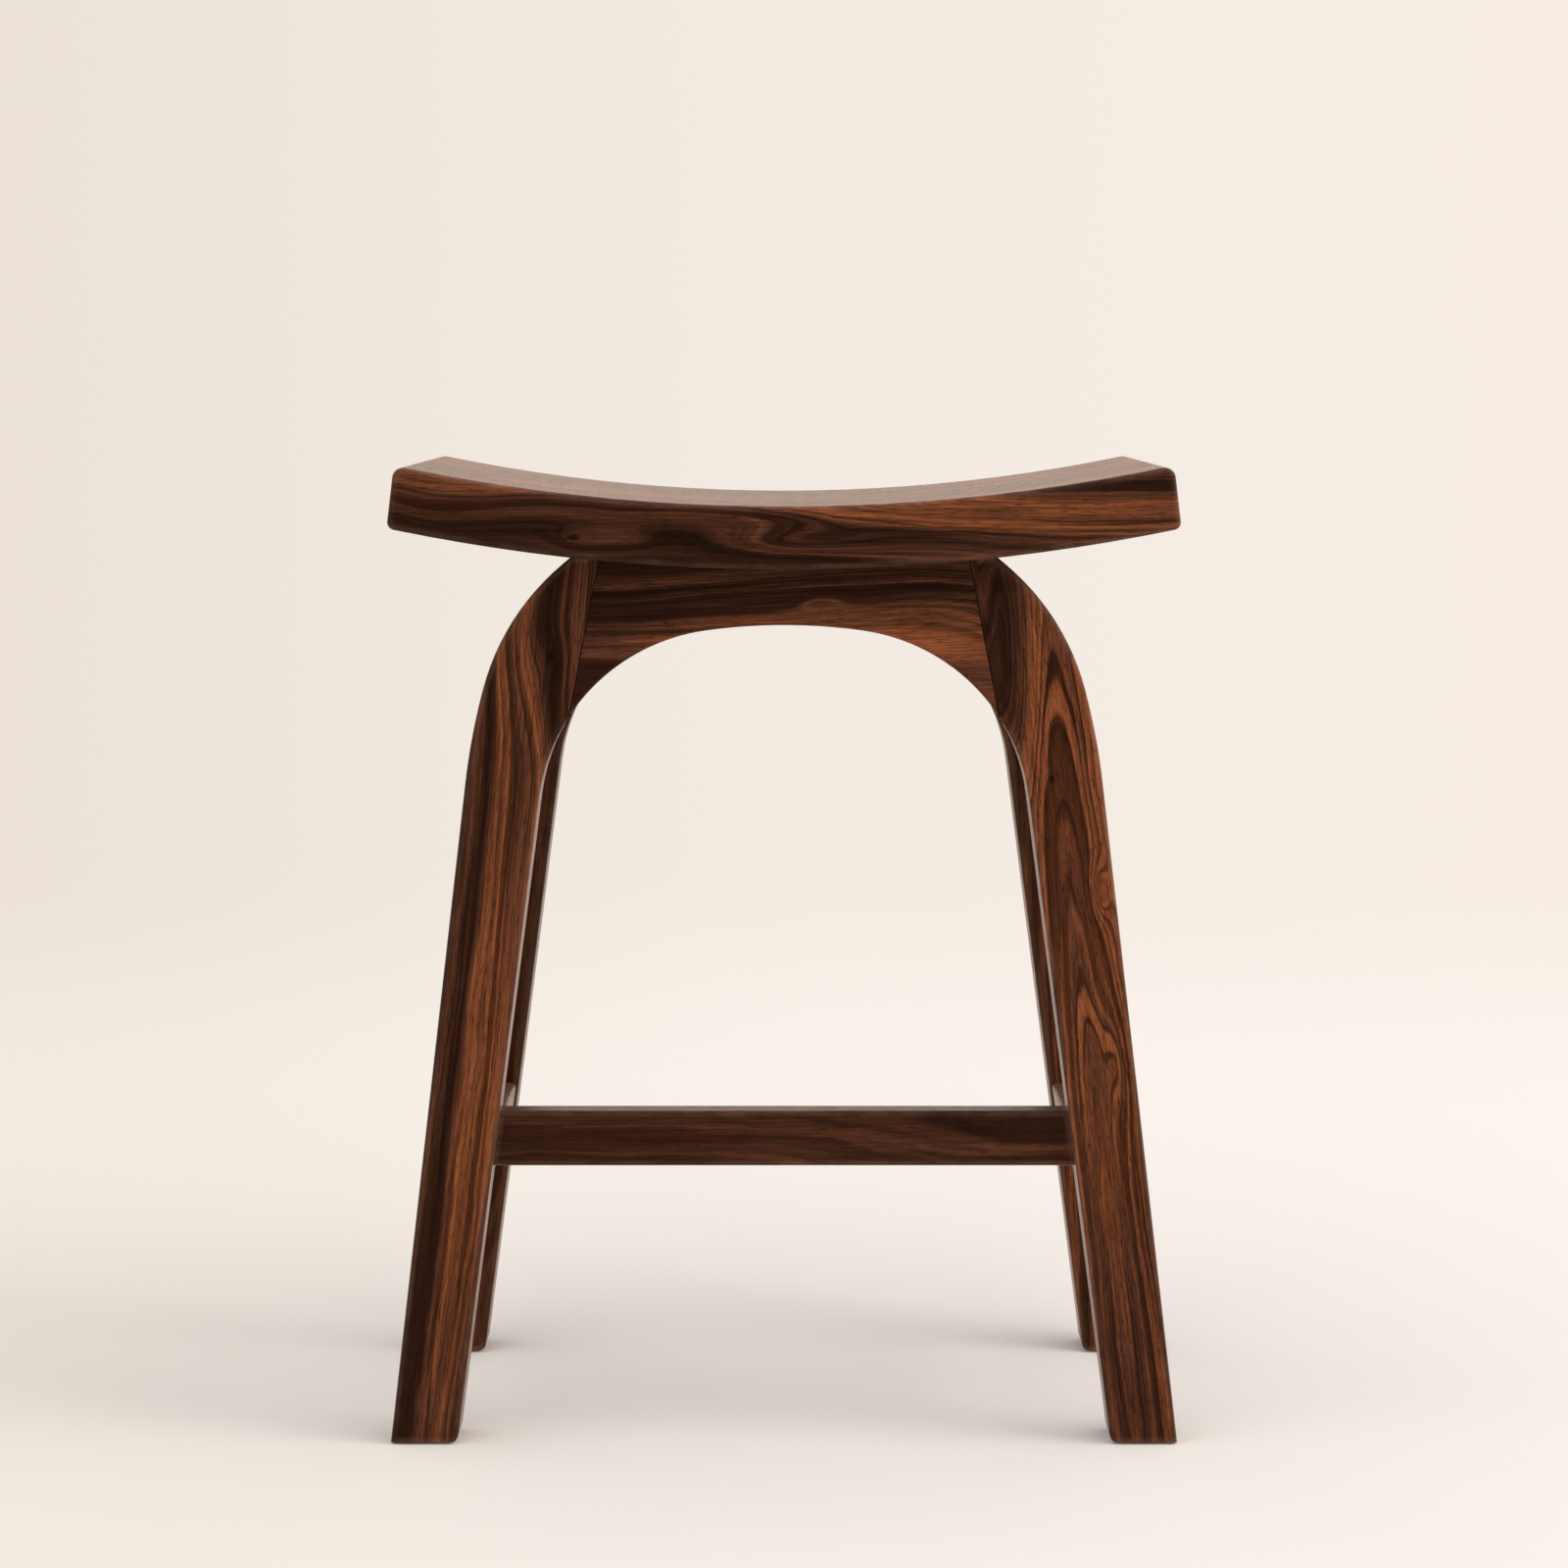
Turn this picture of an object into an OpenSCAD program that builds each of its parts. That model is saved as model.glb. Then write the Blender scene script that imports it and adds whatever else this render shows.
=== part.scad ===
// Counter stool: a hollowed plank seat on two arched trestles, tied by side rails,
// side stretchers and a footrest across the front.
// The floor is z = 0, the front faces -Y, and the origin is on the floor under the
// middle of the seat. All lengths are in millimetres and all angles in degrees.

/* [Seat] */
// Height of the top of the seat above the floor, at its middle
seat_h = 610; // [570:1:660]
// Width of the seat across its lower corners
seat_w = 503; // [460:1:540]
// Depth of the seat from front to back
seat_d = 340; // [332:1:372]
// Thickness of the seat
seat_t = 40; // [34:1:46]
// Radius of the hollow across the top of the seat
hollow_r = 1190; // [1000:10:1500]
// Lean of the end faces of the seat
seat_end_lean = 7; // [0:0.5:10]
// Rounding of the upper corners at the ends of the seat
seat_top_corner_r = 7; // [5:0.5:10]
// Rounding of the lower corners at the ends of the seat
seat_low_corner_r = 5; // [4:0.5:8]
// Rounding round the front and back faces of the seat
seat_edge_r = 3; // [1.5:0.25:4]

/* [Trestles] */
// Width over both feet of a trestle at the floor
base_w = 512; // [490:1:540]
// Depth of the frame over the outer faces of both trestles
base_d = 300; // [270:1:320]
// Thickness of the legs and of the arch rails, from front to back
leg_d = 42; // [38:1:48]
// Width of a foot at the floor
foot_w = 43.2; // [38:0.2:50]
// Splay of the outer edge of a leg
outer_splay = 6.82; // [6:0.02:7.4]
// Splay of the inner edge of a leg
inner_splay = 7.52; // [7:0.02:8.2]
// Drop from the top of the seat to the place where the outer edge starts to curve
hip_drop = 179; // [165:1:195]
// Radius of the long lower curve of the outer edge
hip_r = 438; // [400:1:480]
// Angle at which the long lower curve runs into the shoulder
hip_turn = 15; // [13:0.5:17]
// Radius of the shoulder under the seat
shoulder_r = 157; // [145:1:168]
// Height of the arch rail above the top of the arch
arch_rail_h = 36.4; // [30:0.2:44]
// Radius of the middle of the arch
crown_r = 361; // [330:1:400]
// Radius of the two sides of the arch
haunch_r = 125; // [115:1:135]
// Width of the top of a leg under the seat, from its joint with the arch rail to its outer edge
leg_top_w = 17.02; // [13:0.02:23]
// Tilt of the joint between a leg and an arch rail
joint_tilt = 11; // [6:0.5:14]
// Rounding along the long edges of the legs and arches
edge_r = 2.5; // [1:0.25:4]
// Rounding of the inner lower corner of a foot
foot_corner_r = 5; // [2:0.5:8]

/* [Rails and stretchers] */
// Height of the top of the footrest above the floor
footrest_top_z = 218; // [190:1:260]
// Height of the footrest's section
footrest_h = 36; // [30:1:42]
// Thickness of the footrest from front to back
footrest_t = 22; // [18:1:28]
// Height of the top of the side stretchers above the floor
stretcher_top_z = 195; // [160:1:260]
// Height of a side stretcher's section
stretcher_h = 29; // [24:1:36]
// Thickness of a side stretcher
stretcher_t = 22; // [18:1:26]
// Distance of a side stretcher's inner face behind the inner face of the legs
stretcher_inset = 2; // [0.5:0.5:6]
// Depth of a side rail below the seat
side_rail_h = 66; // [56:1:76]
// Thickness of a side rail
side_rail_t = 22; // [18:1:26]
// Rounding along the edges of the footrest, the stretchers and the side rails
bar_edge_r = 2.5; // [1:0.25:4]

/* [Joinery] */
// Thickness of the tenons of the footrest and of the loose tenons
tenon_t = 10; // [8:0.5:11]
// Length of a footrest tenon
footrest_tenon_l = 24; // [18:1:28]
// Height of a footrest tenon
footrest_tenon_h = 24; // [18:1:26]
// Length of the loose tenon between a leg and an arch rail
loose_tenon_l = 48; // [36:1:50]
// Height of the loose tenon between a leg and an arch rail
loose_tenon_h = 38; // [28:1:40]
// Distance of the loose tenon below the seat
loose_tenon_drop = 11; // [9:1:14]
// Thickness of the tenons of the side rails and side stretchers
side_tenon_t = 8; // [6:0.5:9]
// Length of the tenons of the side rails and side stretchers
side_tenon_l = 13; // [10:0.5:13.5]
// Height of a side stretcher's tenon
stretcher_tenon_h = 20; // [16:1:22]
// Height of a side rail's tenon
rail_tenon_h = 30; // [22:1:32]
// Diameter of the dowels between the seat boards
dowel_d = 8; // [6:1:10]
// Length of the dowels between the seat boards
dowel_l = 40; // [30:1:50]

/* [Fixings] */
// Length of the two equal sides of a corner block
block_side = 48; // [44:1:52]
// Height of a corner block below the seat
block_h = 32; // [28:1:36]
// Shank diameter of the screws in the corner blocks
block_screw_d = 4; // [3:0.5:5]
// Length of the screws in the corner blocks
block_screw_l = 26; // [22:1:28]
// Shank diameter of the screws that hold the seat
seat_screw_d = 5; // [4:0.5:6]
// Length of the screws that hold the seat
seat_screw_l = 50; // [44:1:54]
// Diameter of a foot glide
glide_d = 22; // [16:1:26]
// Thickness of a foot glide
glide_t = 4; // [3:0.5:6]
// Height by which a glide lifts the foot off the floor
glide_proud = 1.5; // [1:0.25:2.5]
// Diameter of the pin of a glide
glide_pin_d = 3; // [2:0.5:4]
// Length of the pin of a glide
glide_pin_l = 14; // [10:1:20]

/* [Hidden] */

// Radial clearance of dowels, pins and screws in their holes
fit_gap = 0.05;
// Clearance on each side of a tenon in its mortise
tenon_gap = 0.05;
// Spare depth behind a tenon, a dowel, a screw or a pin
end_gap = 1;
// Overrun of a cut past the face that it starts from
over = 1;
// Head diameter and height of a screw, as shares of its shank diameter
head_d_share = 2;
head_h_share = 0.6;
// Width and depth of a screw's cross recess, as shares of its head
recess_w_share = 0.14;
recess_l_share = 0.6;
recess_h_share = 0.5;
// Clearance round a screw head
head_gap = 0.5;
// Places of the corner block screws along the block's side
block_screw_share = 0.7;
// Place of the seat screw along both sides of a block
seat_screw_share = 0.31;
// Length of a corner block screw outside the block
block_screw_bite = 14;
// Distance from the joint of a leg to the side rail's tenon beside it
rail_tenon_wall = 1;
// Place of the outer dowels of a joint, as a share of the seat's width, and of the inner ones, as a
// share of the seat screws' distance from the middle
dowel_out_share = 0.36;
dowel_in_share = 0.6;

board_count = 4;
board_w = seat_d / board_count;

// Radius of a rounded edge's section, as a share of its distance from both faces: it crosses
// them at a small angle
section_share = 1.01;
// A shallow edge cut lies this much further out than a deep one, and a deep one reaches this far
// over the shallow one beside it
shallow_step = 0.05;
deep_reach = 0.3;
// The crown of the arch is drawn this much inside its haunches, so that the arcs cross
crown_step = 0.02;

// Facets of a full circle: on small round parts, on long arcs, and across a rounded edge
$fn = 48;
wide_fn = 720;
edge_fn = 32;
function arc_fn(r) = r < leg_d ? $fn : wide_fn;

// Middle line and lower face of the seat
seat_axis_z = seat_h + hollow_r;
seat_axis = [0, seat_axis_z];
under_r = hollow_r + seat_t;
function under_z(x) = seat_axis_z - sqrt(pow(under_r, 2) - pow(x, 2));
function mid_z(x) = seat_axis_z - sqrt(pow(hollow_r + seat_t / 2, 2) - pow(x, 2));

// A direction seen from the front, from an angle above the horizontal, and the angle of a direction
function aim(angle) = [cos(angle), sin(angle)];
function angle_of(v) = atan2(v[1], v[0]);
// Angle taken by a length along an arc
function arc_turn(length, r) = length / r * 180 / PI;

// End faces of the seat
end_low_z = under_z(seat_w / 2);
end_out = aim(seat_end_lean);
end_down = aim(seat_end_lean - 90);
end_reach = seat_w / 2 * end_out[0] + (end_low_z - seat_axis_z) * end_out[1];
function end_x(z) = seat_w / 2 - (z - end_low_z) * tan(seat_end_lean);
// Centre of a corner's rounding of radius r, from the radius on which it lies
function end_centre(r, on_r) =
  seat_axis + (end_reach - r) * end_out + sqrt(pow(on_r, 2) - pow(end_reach - r, 2)) * end_down;
seat_top_c = end_centre(seat_top_corner_r, hollow_r + seat_top_corner_r);
seat_low_c = end_centre(seat_low_corner_r, under_r - seat_low_corner_r);
seat_top_angle = angle_of(seat_axis - seat_top_c);
seat_low_angle = angle_of(seat_low_c - seat_axis);
// Angle to each side of the middle over which the seat's long edges are rounded: well past its ends
seat_turn = 2 * (90 + seat_low_angle);

// Edges of a leg, as half widths at a height
foot_z = glide_proud;
function outer_x(z) = base_w / 2 - z * tan(outer_splay);
function inner_x(z) = base_w / 2 - foot_w - z * tan(inner_splay);

// Outer edge: a straight stretch, the long hip curve, then the shoulder
hip_z = seat_h - hip_drop;
hip_start = [outer_x(hip_z), hip_z];
hip_c = hip_start - hip_r * aim(outer_splay);
shoulder_start = hip_c + hip_r * aim(hip_turn);
shoulder_c = hip_c + (hip_r - shoulder_r) * aim(hip_turn);
shoulder_end_angle = 75;
shoulder_end = shoulder_c + shoulder_r * aim(shoulder_end_angle);

// Place where the shoulder meets the seat: two circles cross there
shoulder_to_axis = seat_axis - shoulder_c;
axis_gap = norm(shoulder_to_axis);
axis_aim = shoulder_to_axis / axis_gap;
cross_along = (pow(shoulder_r, 2) - pow(under_r, 2) + pow(axis_gap, 2)) / (2 * axis_gap);
cross_aside = sqrt(pow(shoulder_r, 2) - pow(cross_along, 2));
shoulder_top = shoulder_c + cross_along * axis_aim + cross_aside * [axis_aim[1], -axis_aim[0]];

// Arch: a wide crown between two haunches that run into the straight inner edges
arch_z = seat_h - seat_t - arch_rail_h;
crown_c = [0, arch_z - crown_r];
crown_cut_r = crown_r - crown_step;
haunch_k = base_w / 2 - foot_w - haunch_r / cos(inner_splay);
haunch_a = 1 + pow(tan(inner_splay), 2);
haunch_b = -2 * (haunch_k * tan(inner_splay) + crown_c[1]);
haunch_q = pow(haunch_k, 2) + pow(crown_c[1], 2) - pow(crown_r - haunch_r, 2);
haunch_z = (-haunch_b + sqrt(pow(haunch_b, 2) - 4 * haunch_a * haunch_q)) / (2 * haunch_a);
haunch_c = [haunch_k - haunch_z * tan(inner_splay), haunch_z];
haunch_foot = haunch_c + haunch_r * aim(inner_splay);
haunch_top_angle = angle_of(haunch_c - crown_c);
haunch_top = haunch_c + haunch_r * aim(haunch_top_angle);

// Joint between a leg and an arch rail
joint_x = shoulder_top[0] - leg_top_w;
joint_top_z = under_z(joint_x);
function joint_at(z) = joint_x + (joint_top_z - z) * tan(joint_tilt);
// Where the joint meets the haunch, as an angle round the haunch, and the short way past it in which
// the thin tip of the rail keeps its edges
joint_off = ([joint_x, joint_top_z] - haunch_c) * aim(joint_tilt);
tip_angle = joint_tilt + acos(joint_off / haunch_r);
tip_turn = arc_turn(edge_r, haunch_r);

// Depths of the trestles
face_y = base_d / 2;
back_y = face_y - leg_d;
leg_mid_y = face_y - leg_d / 2;

// Side rails and corner blocks
rail_out_x = shoulder_top[0];
rail_in_x = rail_out_x - side_rail_t;
rail_low_z = joint_top_z - side_rail_h;
block_low_z = joint_top_z - block_h;
rail_tenon_z = joint_top_z - loose_tenon_drop - rail_tenon_h;
rail_tenon_x = joint_at(rail_tenon_z) + rail_tenon_wall;
seat_screw_x = rail_in_x - block_side * seat_screw_share;
dowel_places = [seat_w * dowel_out_share, seat_screw_x * dowel_in_share];

// Loose tenons
loose_top_z = joint_top_z - loose_tenon_drop;
loose_mid_z = loose_top_z - loose_tenon_h / 2;
loose_mid_x = joint_at(loose_mid_z);

// Footrest
footrest_mid_z = footrest_top_z - footrest_h / 2;

// Side stretchers, tilted with the legs
stretcher_mid_z = stretcher_top_z - stretcher_h / 2;
stretcher_mid_x = inner_x(stretcher_mid_z) + stretcher_inset + stretcher_t / 2;

// Colours
seat_tone = "#5b3324";
leg_tone = "#55301f";
rail_tone = "#4a291b";
block_tone = "#8a6a48";
dowel_tone = "#c8a778";
steel_tone = "#9a9da1";
glide_tone = "#2a2725";

// Stands a flat outline up in the trestle's plane. Its thickness runs forward from y
module upright(y) {
  translate([0, y, 0]) rotate([90, 0, 0]) children();
}

// What is cut off a convex corner to round it: c is the centre of the rounding, and
// n and u are the outward directions of the two edges
module corner_cut(c, r, n, u) {
  difference() {
    polygon([c, c + r * n, c + 2 * r * (n + u), c + r * u]);
    translate(c) circle(r);
  }
}

// The same for an edge at the origin whose solid lies at +x and +y
module edge_cut(r) {
  difference() {
    translate([-over, -over]) square(r + over);
    translate([r, r]) circle(r * section_share, $fn = edge_fn);
  }
}

// A slice of a disc between two angles, for angles less than 120 degrees apart
module slice(c, r, from, to) {
  intersection() {
    translate(c) circle(r, $fn = wide_fn);
    polygon([c, c + 2 * r * aim(from), c + 2 * r * aim(to)]);
  }
}

// Everything above the lower face of the seat
module seat_disc() {
  translate(seat_axis) circle(under_r, $fn = wide_fn);
}

// Outline of the seat seen from the front
module seat_outline() {
  high_z = end_low_z + 2 * seat_t;
  low_z = under_z(0) - seat_t;
  difference() {
    intersection() {
      difference() {
        seat_disc();
        translate(seat_axis) circle(hollow_r, $fn = wide_fn);
      }
      polygon([[-end_x(low_z), low_z], [end_x(low_z), low_z],
               [end_x(high_z), high_z], [-end_x(high_z), high_z]]);
    }
    for (side = [0, 1]) mirror([side, 0]) {
      corner_cut(seat_top_c, seat_top_corner_r, end_out, aim(seat_top_angle));
      corner_cut(seat_low_c, seat_low_corner_r, end_out, aim(seat_low_angle));
    }
  }
}

// One board of the seat before its edges are rounded. Boards count from the front
module board_blank(index) {
  upright(-seat_d / 2 + (index + 1) * board_w) linear_extrude(board_w) seat_outline();
}

module seat_board(index) {
  front_y = -seat_d / 2 + index * board_w;
  hole_l = dowel_l + 2 * end_gap;
  last = board_count - 1;
  difference() {
    if (index == 0) mirror([0, 1, 0]) seat_rounded() board_blank(last);
    else if (index == last) seat_rounded() board_blank(last);
    else board_blank(index);
    if (index > 0) dowel_row(front_y, hole_l, fit_gap);
    if (index < last) dowel_row(front_y + board_w, hole_l, fit_gap);
    for (face = [0, 1]) mirror([0, face, 0]) seat_screw_holes();
  }
}

// Rounds the edges round the back of the seat: its corners, then its ends, then its long edges
module seat_rounded() {
  difference() {
    difference() {
      difference() {
        children();
        upright(seat_d / 2) for (side = [0, 1]) mirror([side, 0]) seat_corner_cuts();
      }
      upright(seat_d / 2) for (side = [0, 1]) mirror([side, 0]) seat_end_cut();
    }
    upright(seat_d / 2) seat_long_cuts();
  }
}

module seat_corner_cuts() {
  arc_edge_cuts(seat_low_c, seat_low_corner_r, seat_low_angle, seat_end_lean, false, false,
                seat_edge_r, [0]);
  arc_edge_cuts(seat_top_c, seat_top_corner_r, seat_end_lean, seat_top_angle, false, false,
                seat_edge_r, [0]);
}

module seat_end_cut() {
  end_low = seat_low_c + seat_low_corner_r * end_out;
  end_high = seat_top_c + seat_top_corner_r * end_out;
  line_edge_cuts(end_low, end_high, seat_edge_r, [0]);
}

module seat_long_cuts() {
  from = -90 - seat_turn;
  to = -90 + seat_turn;
  arc_edge_cuts(seat_axis, hollow_r, from, to, true, true, seat_edge_r, [0]);
  arc_edge_cuts(seat_axis, under_r, from, to, false, true, seat_edge_r, [0]);
}

// A row of dowels, or of their holes, across the joint between two boards
module dowel_row(y, length, gap) {
  for (x = dowel_places) for (side = [-1, 1])
    translate([side * x, y, mid_z(x)]) rotate([90, 0, 0])
      cylinder(d = dowel_d + 2 * gap, h = length, center = true);
}

// Outline of the right half of a trestle inside its outer edge
module outer_half() {
  polygon([[0, foot_z], [outer_x(foot_z), foot_z], hip_start, shoulder_start,
           shoulder_end, [0, shoulder_end[1]]]);
  intersection() {
    union() {
      slice(hip_c, hip_r, outer_splay, hip_turn);
      slice(shoulder_c, shoulder_r, hip_turn, shoulder_end_angle);
    }
    square([base_w, seat_axis_z]);
  }
}

// The space under the arch and between the legs
module arch_opening() {
  low_z = foot_z - over;
  polygon([[-inner_x(low_z), low_z], [inner_x(low_z), low_z],
           haunch_foot, haunch_top, [-haunch_top[0], haunch_top[1]],
           [-haunch_foot[0], haunch_foot[1]]]);
  translate(haunch_c) circle(haunch_r, $fn = wide_fn);
  translate([-haunch_c[0], haunch_c[1]]) circle(haunch_r, $fn = wide_fn);
  slice(crown_c, crown_cut_r, haunch_top_angle, 180 - haunch_top_angle);
}

// What lies between the two joints of a trestle
module between_joints() {
  high_z = shoulder_end[1];
  polygon([[-joint_at(haunch_z), haunch_z], [joint_at(haunch_z), haunch_z],
           [joint_at(high_z), high_z], [-joint_at(high_z), high_z]]);
}

// Outline of the right leg
module leg_outline() {
  low_z = foot_z + foot_corner_r;
  corner_c = [inner_x(low_z) + foot_corner_r / cos(inner_splay), low_z];
  difference() {
    outer_half();
    arch_opening();
    between_joints();
    seat_disc();
    corner_cut(corner_c, foot_corner_r, -aim(inner_splay), [0, -1]);
  }
}

// Outline of an arch rail
module arch_outline() {
  difference() {
    between_joints();
    arch_opening();
    seat_disc();
  }
}

// Rounds an edge along an arc of an upright outline, on its back, 0, its front, 1, or both.
// The solid lies outside the arc where outside is true. Of two arcs that meet, one is cut deep
module arc_edge_cuts(c, r, from, to, outside, deep, rounding = edge_r, faces = [0, 1]) {
  reach = deep ? arc_turn(deep_reach, r) : 0;
  step = (outside ? -1 : 1) * (deep ? 0 : shallow_step);
  translate(c) rotate(from - reach) for (face = faces)
    translate([0, 0, face * leg_d]) mirror([0, 0, face])
      rotate_extrude(angle = to - from + 2 * reach, $fn = arc_fn(r))
        translate([r + step, 0]) mirror([outside ? 0 : 1, 0]) edge_cut(rounding);
}

// Rounds a straight edge from one point to another, cut deep. The solid lies on the left of the run
module line_edge_cuts(from, to, rounding = edge_r, faces = [0, 1]) {
  run = to - from;
  translate(from) rotate(angle_of(run)) for (face = faces)
    translate([0, 0, face * leg_d]) mirror([0, 0, face])
      rotate([90, 0, 90]) translate([0, 0, -deep_reach])
        linear_extrude(norm(run) + 2 * deep_reach) edge_cut(rounding);
}

// The front right leg. The others are its mirror images
module leg(with_footrest) {
  difference() {
    upright(-back_y) difference() {
      linear_extrude(leg_d) leg_outline();
      line_edge_cuts([outer_x(foot_z - over), foot_z - over], hip_start);
      arc_edge_cuts(hip_c, hip_r, outer_splay, hip_turn, false, false);
      arc_edge_cuts(shoulder_c, shoulder_r, hip_turn, shoulder_end_angle, false, true);
      line_edge_cuts(haunch_foot, [inner_x(foot_z - over), foot_z - over]);
      arc_edge_cuts(haunch_c, haunch_r, inner_splay, haunch_top_angle, true, false);
    }
    loose_tenon(tenon_gap, end_gap);
    side_rail_tenon(tenon_gap, end_gap);
    stretcher_tenon(tenon_gap, end_gap);
    if (with_footrest) footrest_tenon(tenon_gap, end_gap);
    glide_solid(fit_gap, end_gap);
  }
}

// An arch rail at the front
module arch_rail() {
  difference() {
    upright(-back_y) difference() {
      linear_extrude(leg_d) arch_outline();
      arc_edge_cuts(crown_c, crown_cut_r, haunch_top_angle, 180 - haunch_top_angle, true, true);
      for (side = [0, 1]) mirror([side, 0])
        arc_edge_cuts(haunch_c, haunch_r, tip_angle + tip_turn, haunch_top_angle, true, false);
    }
    for (side = [0, 1]) mirror([side, 0, 0]) {
      loose_tenon(tenon_gap, end_gap);
      rail_screw(fit_gap, end_gap);
    }
  }
}

// A loose tenon across the front right joint, or its mortise
module loose_tenon(gap, spare) {
  length = loose_tenon_l + 2 * spare;
  tall = loose_tenon_h - tenon_t;
  translate([loose_mid_x, -leg_mid_y, loose_mid_z]) {
    cube([length, tenon_t + 2 * gap, tall], center = true);
    for (up = [-1, 1])
      translate([0, 0, up * tall / 2]) rotate([0, 90, 0])
        cylinder(d = tenon_t + 2 * gap, h = length, center = true);
  }
}

// A bar with rounded edges that runs along +z from the origin, centred on it
module bar(width, height, length) {
  linear_extrude(length) difference() {
    square([width, height], center = true);
    for (sx = [0, 1]) for (sy = [0, 1]) mirror([sx, 0]) mirror([0, sy])
      translate([-width / 2, -height / 2]) edge_cut(bar_edge_r);
  }
}

// The tenon of the footrest in the front right leg, or its mortise
module footrest_tenon(gap, spare) {
  root_x = inner_x(footrest_mid_z) - footrest_h / 2;
  tip_x = inner_x(footrest_mid_z) + footrest_tenon_l + spare;
  translate([root_x, -leg_mid_y - tenon_t / 2 - gap, footrest_mid_z - footrest_tenon_h / 2 - gap])
    cube([tip_x - root_x, tenon_t + 2 * gap, footrest_tenon_h + 2 * gap]);
}

module footrest() {
  low_z = footrest_top_z - footrest_h - over;
  high_z = footrest_top_z + over;
  color(rail_tone) {
    intersection() {
      translate([-base_w / 2, -leg_mid_y, footrest_mid_z]) rotate([90, 0, 90])
        bar(footrest_t, footrest_h, base_w);
      upright(-back_y) linear_extrude(leg_d)
        polygon([[-inner_x(low_z), low_z], [inner_x(low_z), low_z],
                 [inner_x(high_z), high_z], [-inner_x(high_z), high_z]]);
    }
    for (side = [0, 1]) mirror([side, 0, 0]) footrest_tenon(0, 0);
  }
}

// Puts a part in the frame of the right side stretcher, tilted like the legs
module stretcher_place() {
  translate([stretcher_mid_x, 0, stretcher_mid_z]) rotate([0, -inner_splay, 0]) children();
}

// The front tenon of the right side stretcher, or its mortise
module stretcher_tenon(gap, spare) {
  length = side_tenon_l + spare + over;
  stretcher_place()
    translate([-side_tenon_t / 2 - gap, -back_y - side_tenon_l - spare, -stretcher_tenon_h / 2 - gap])
      cube([side_tenon_t + 2 * gap, length, stretcher_tenon_h + 2 * gap]);
}

module side_stretcher() {
  stretcher_place()
    translate([0, back_y, 0]) rotate([90, 0, 0]) bar(stretcher_t, stretcher_h, 2 * back_y);
  for (face = [0, 1]) mirror([0, face, 0]) stretcher_tenon(0, 0);
}

// The front tenon of the right side rail, or its mortise
module side_rail_tenon(gap, spare) {
  translate([rail_tenon_x - gap, -back_y - side_tenon_l - spare, rail_tenon_z - gap])
    cube([side_tenon_t + 2 * gap, side_tenon_l + spare + over, rail_tenon_h + 2 * gap]);
}

module side_rail() {
  difference() {
    union() {
      intersection() {
        translate([rail_out_x - side_rail_t / 2, back_y, rail_low_z + side_rail_h]) rotate([90, 0, 0])
          bar(side_rail_t, 2 * side_rail_h, 2 * back_y);
        upright(back_y) linear_extrude(2 * back_y) difference() {
          square([base_w, seat_h]);
          seat_disc();
        }
      }
      for (face = [0, 1]) mirror([0, face, 0]) side_rail_tenon(0, 0);
    }
    for (face = [0, 1]) mirror([0, face, 0]) side_screw(fit_gap, end_gap);
  }
}

// A triangular block in the front right corner of the frame, up against the seat
module corner_block() {
  difference() {
    translate([rail_in_x, -back_y, block_low_z]) linear_extrude(2 * block_h)
      polygon([[0, 0], [0, block_side], [-block_side, 0]]);
    upright(back_y) linear_extrude(2 * back_y) seat_disc();
    rail_screw(fit_gap, end_gap);
    side_screw(fit_gap, end_gap);
    seat_screw(fit_gap, end_gap);
  }
}

// A screw with its tip at the origin and its head up, or the hole for it
module screw(d, length, gap, spare) {
  head_d = d * head_d_share;
  head_h = d * head_h_share;
  recess = [head_d * recess_l_share, head_d * recess_w_share, 2 * head_h * recess_h_share];
  hole = gap > 0;
  translate([0, 0, -spare]) cylinder(d = d + 2 * gap, h = length + spare);
  difference() {
    translate([0, 0, length - head_h])
      cylinder(d = head_d + (hole ? 2 * head_gap : 0), h = hole ? length : head_h);
    if (!hole) for (turn = [0, 90])
      translate([0, 0, length]) rotate(turn) cube(recess, center = true);
  }
}

// The screw from the front right block into the arch rail
module rail_screw(gap, spare) {
  along = block_side * block_screw_share;
  translate([rail_in_x - along, -back_y - block_screw_bite, (block_low_z + joint_top_z) / 2])
    rotate([-90, 0, 0]) screw(block_screw_d, block_screw_l, gap, spare);
}

// The screw from the front right block into the side rail
module side_screw(gap, spare) {
  along = block_side * block_screw_share;
  translate([rail_in_x + block_screw_bite, -back_y + along, (block_low_z + joint_top_z) / 2])
    rotate([0, -90, 0]) screw(block_screw_d, block_screw_l, gap, spare);
}

// The screw from the front right block up into the seat
module seat_screw(gap, spare) {
  along = block_side * seat_screw_share;
  head_h = seat_screw_d * head_h_share;
  translate([seat_screw_x, -back_y + along, block_low_z + seat_screw_l])
    rotate([180, 0, 0]) screw(seat_screw_d, seat_screw_l, gap, spare);
}

module seat_screw_holes() {
  for (side = [0, 1]) mirror([side, 0, 0]) seat_screw(fit_gap, end_gap);
}

// A glide under the front right foot, with its pin, or the hole for it
module glide_solid(gap, spare) {
  hole = gap > 0;
  foot_mid_x = (outer_x(foot_z) + inner_x(foot_z)) / 2;
  translate([foot_mid_x, -leg_mid_y, hole ? -over : 0]) {
    cylinder(d = glide_d + 2 * gap, h = glide_t + (hole ? over + gap : 0));
    cylinder(d = glide_pin_d + 2 * gap, h = glide_t + glide_pin_l + (hole ? over + spare : 0));
  }
}

module seat_board_front() { color(seat_tone) seat_board(0); }
module seat_board_front_middle() { color(seat_tone) seat_board(1); }
module seat_board_rear_middle() { color(seat_tone) seat_board(2); }
module seat_board_rear() { color(seat_tone) seat_board(3); }

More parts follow.
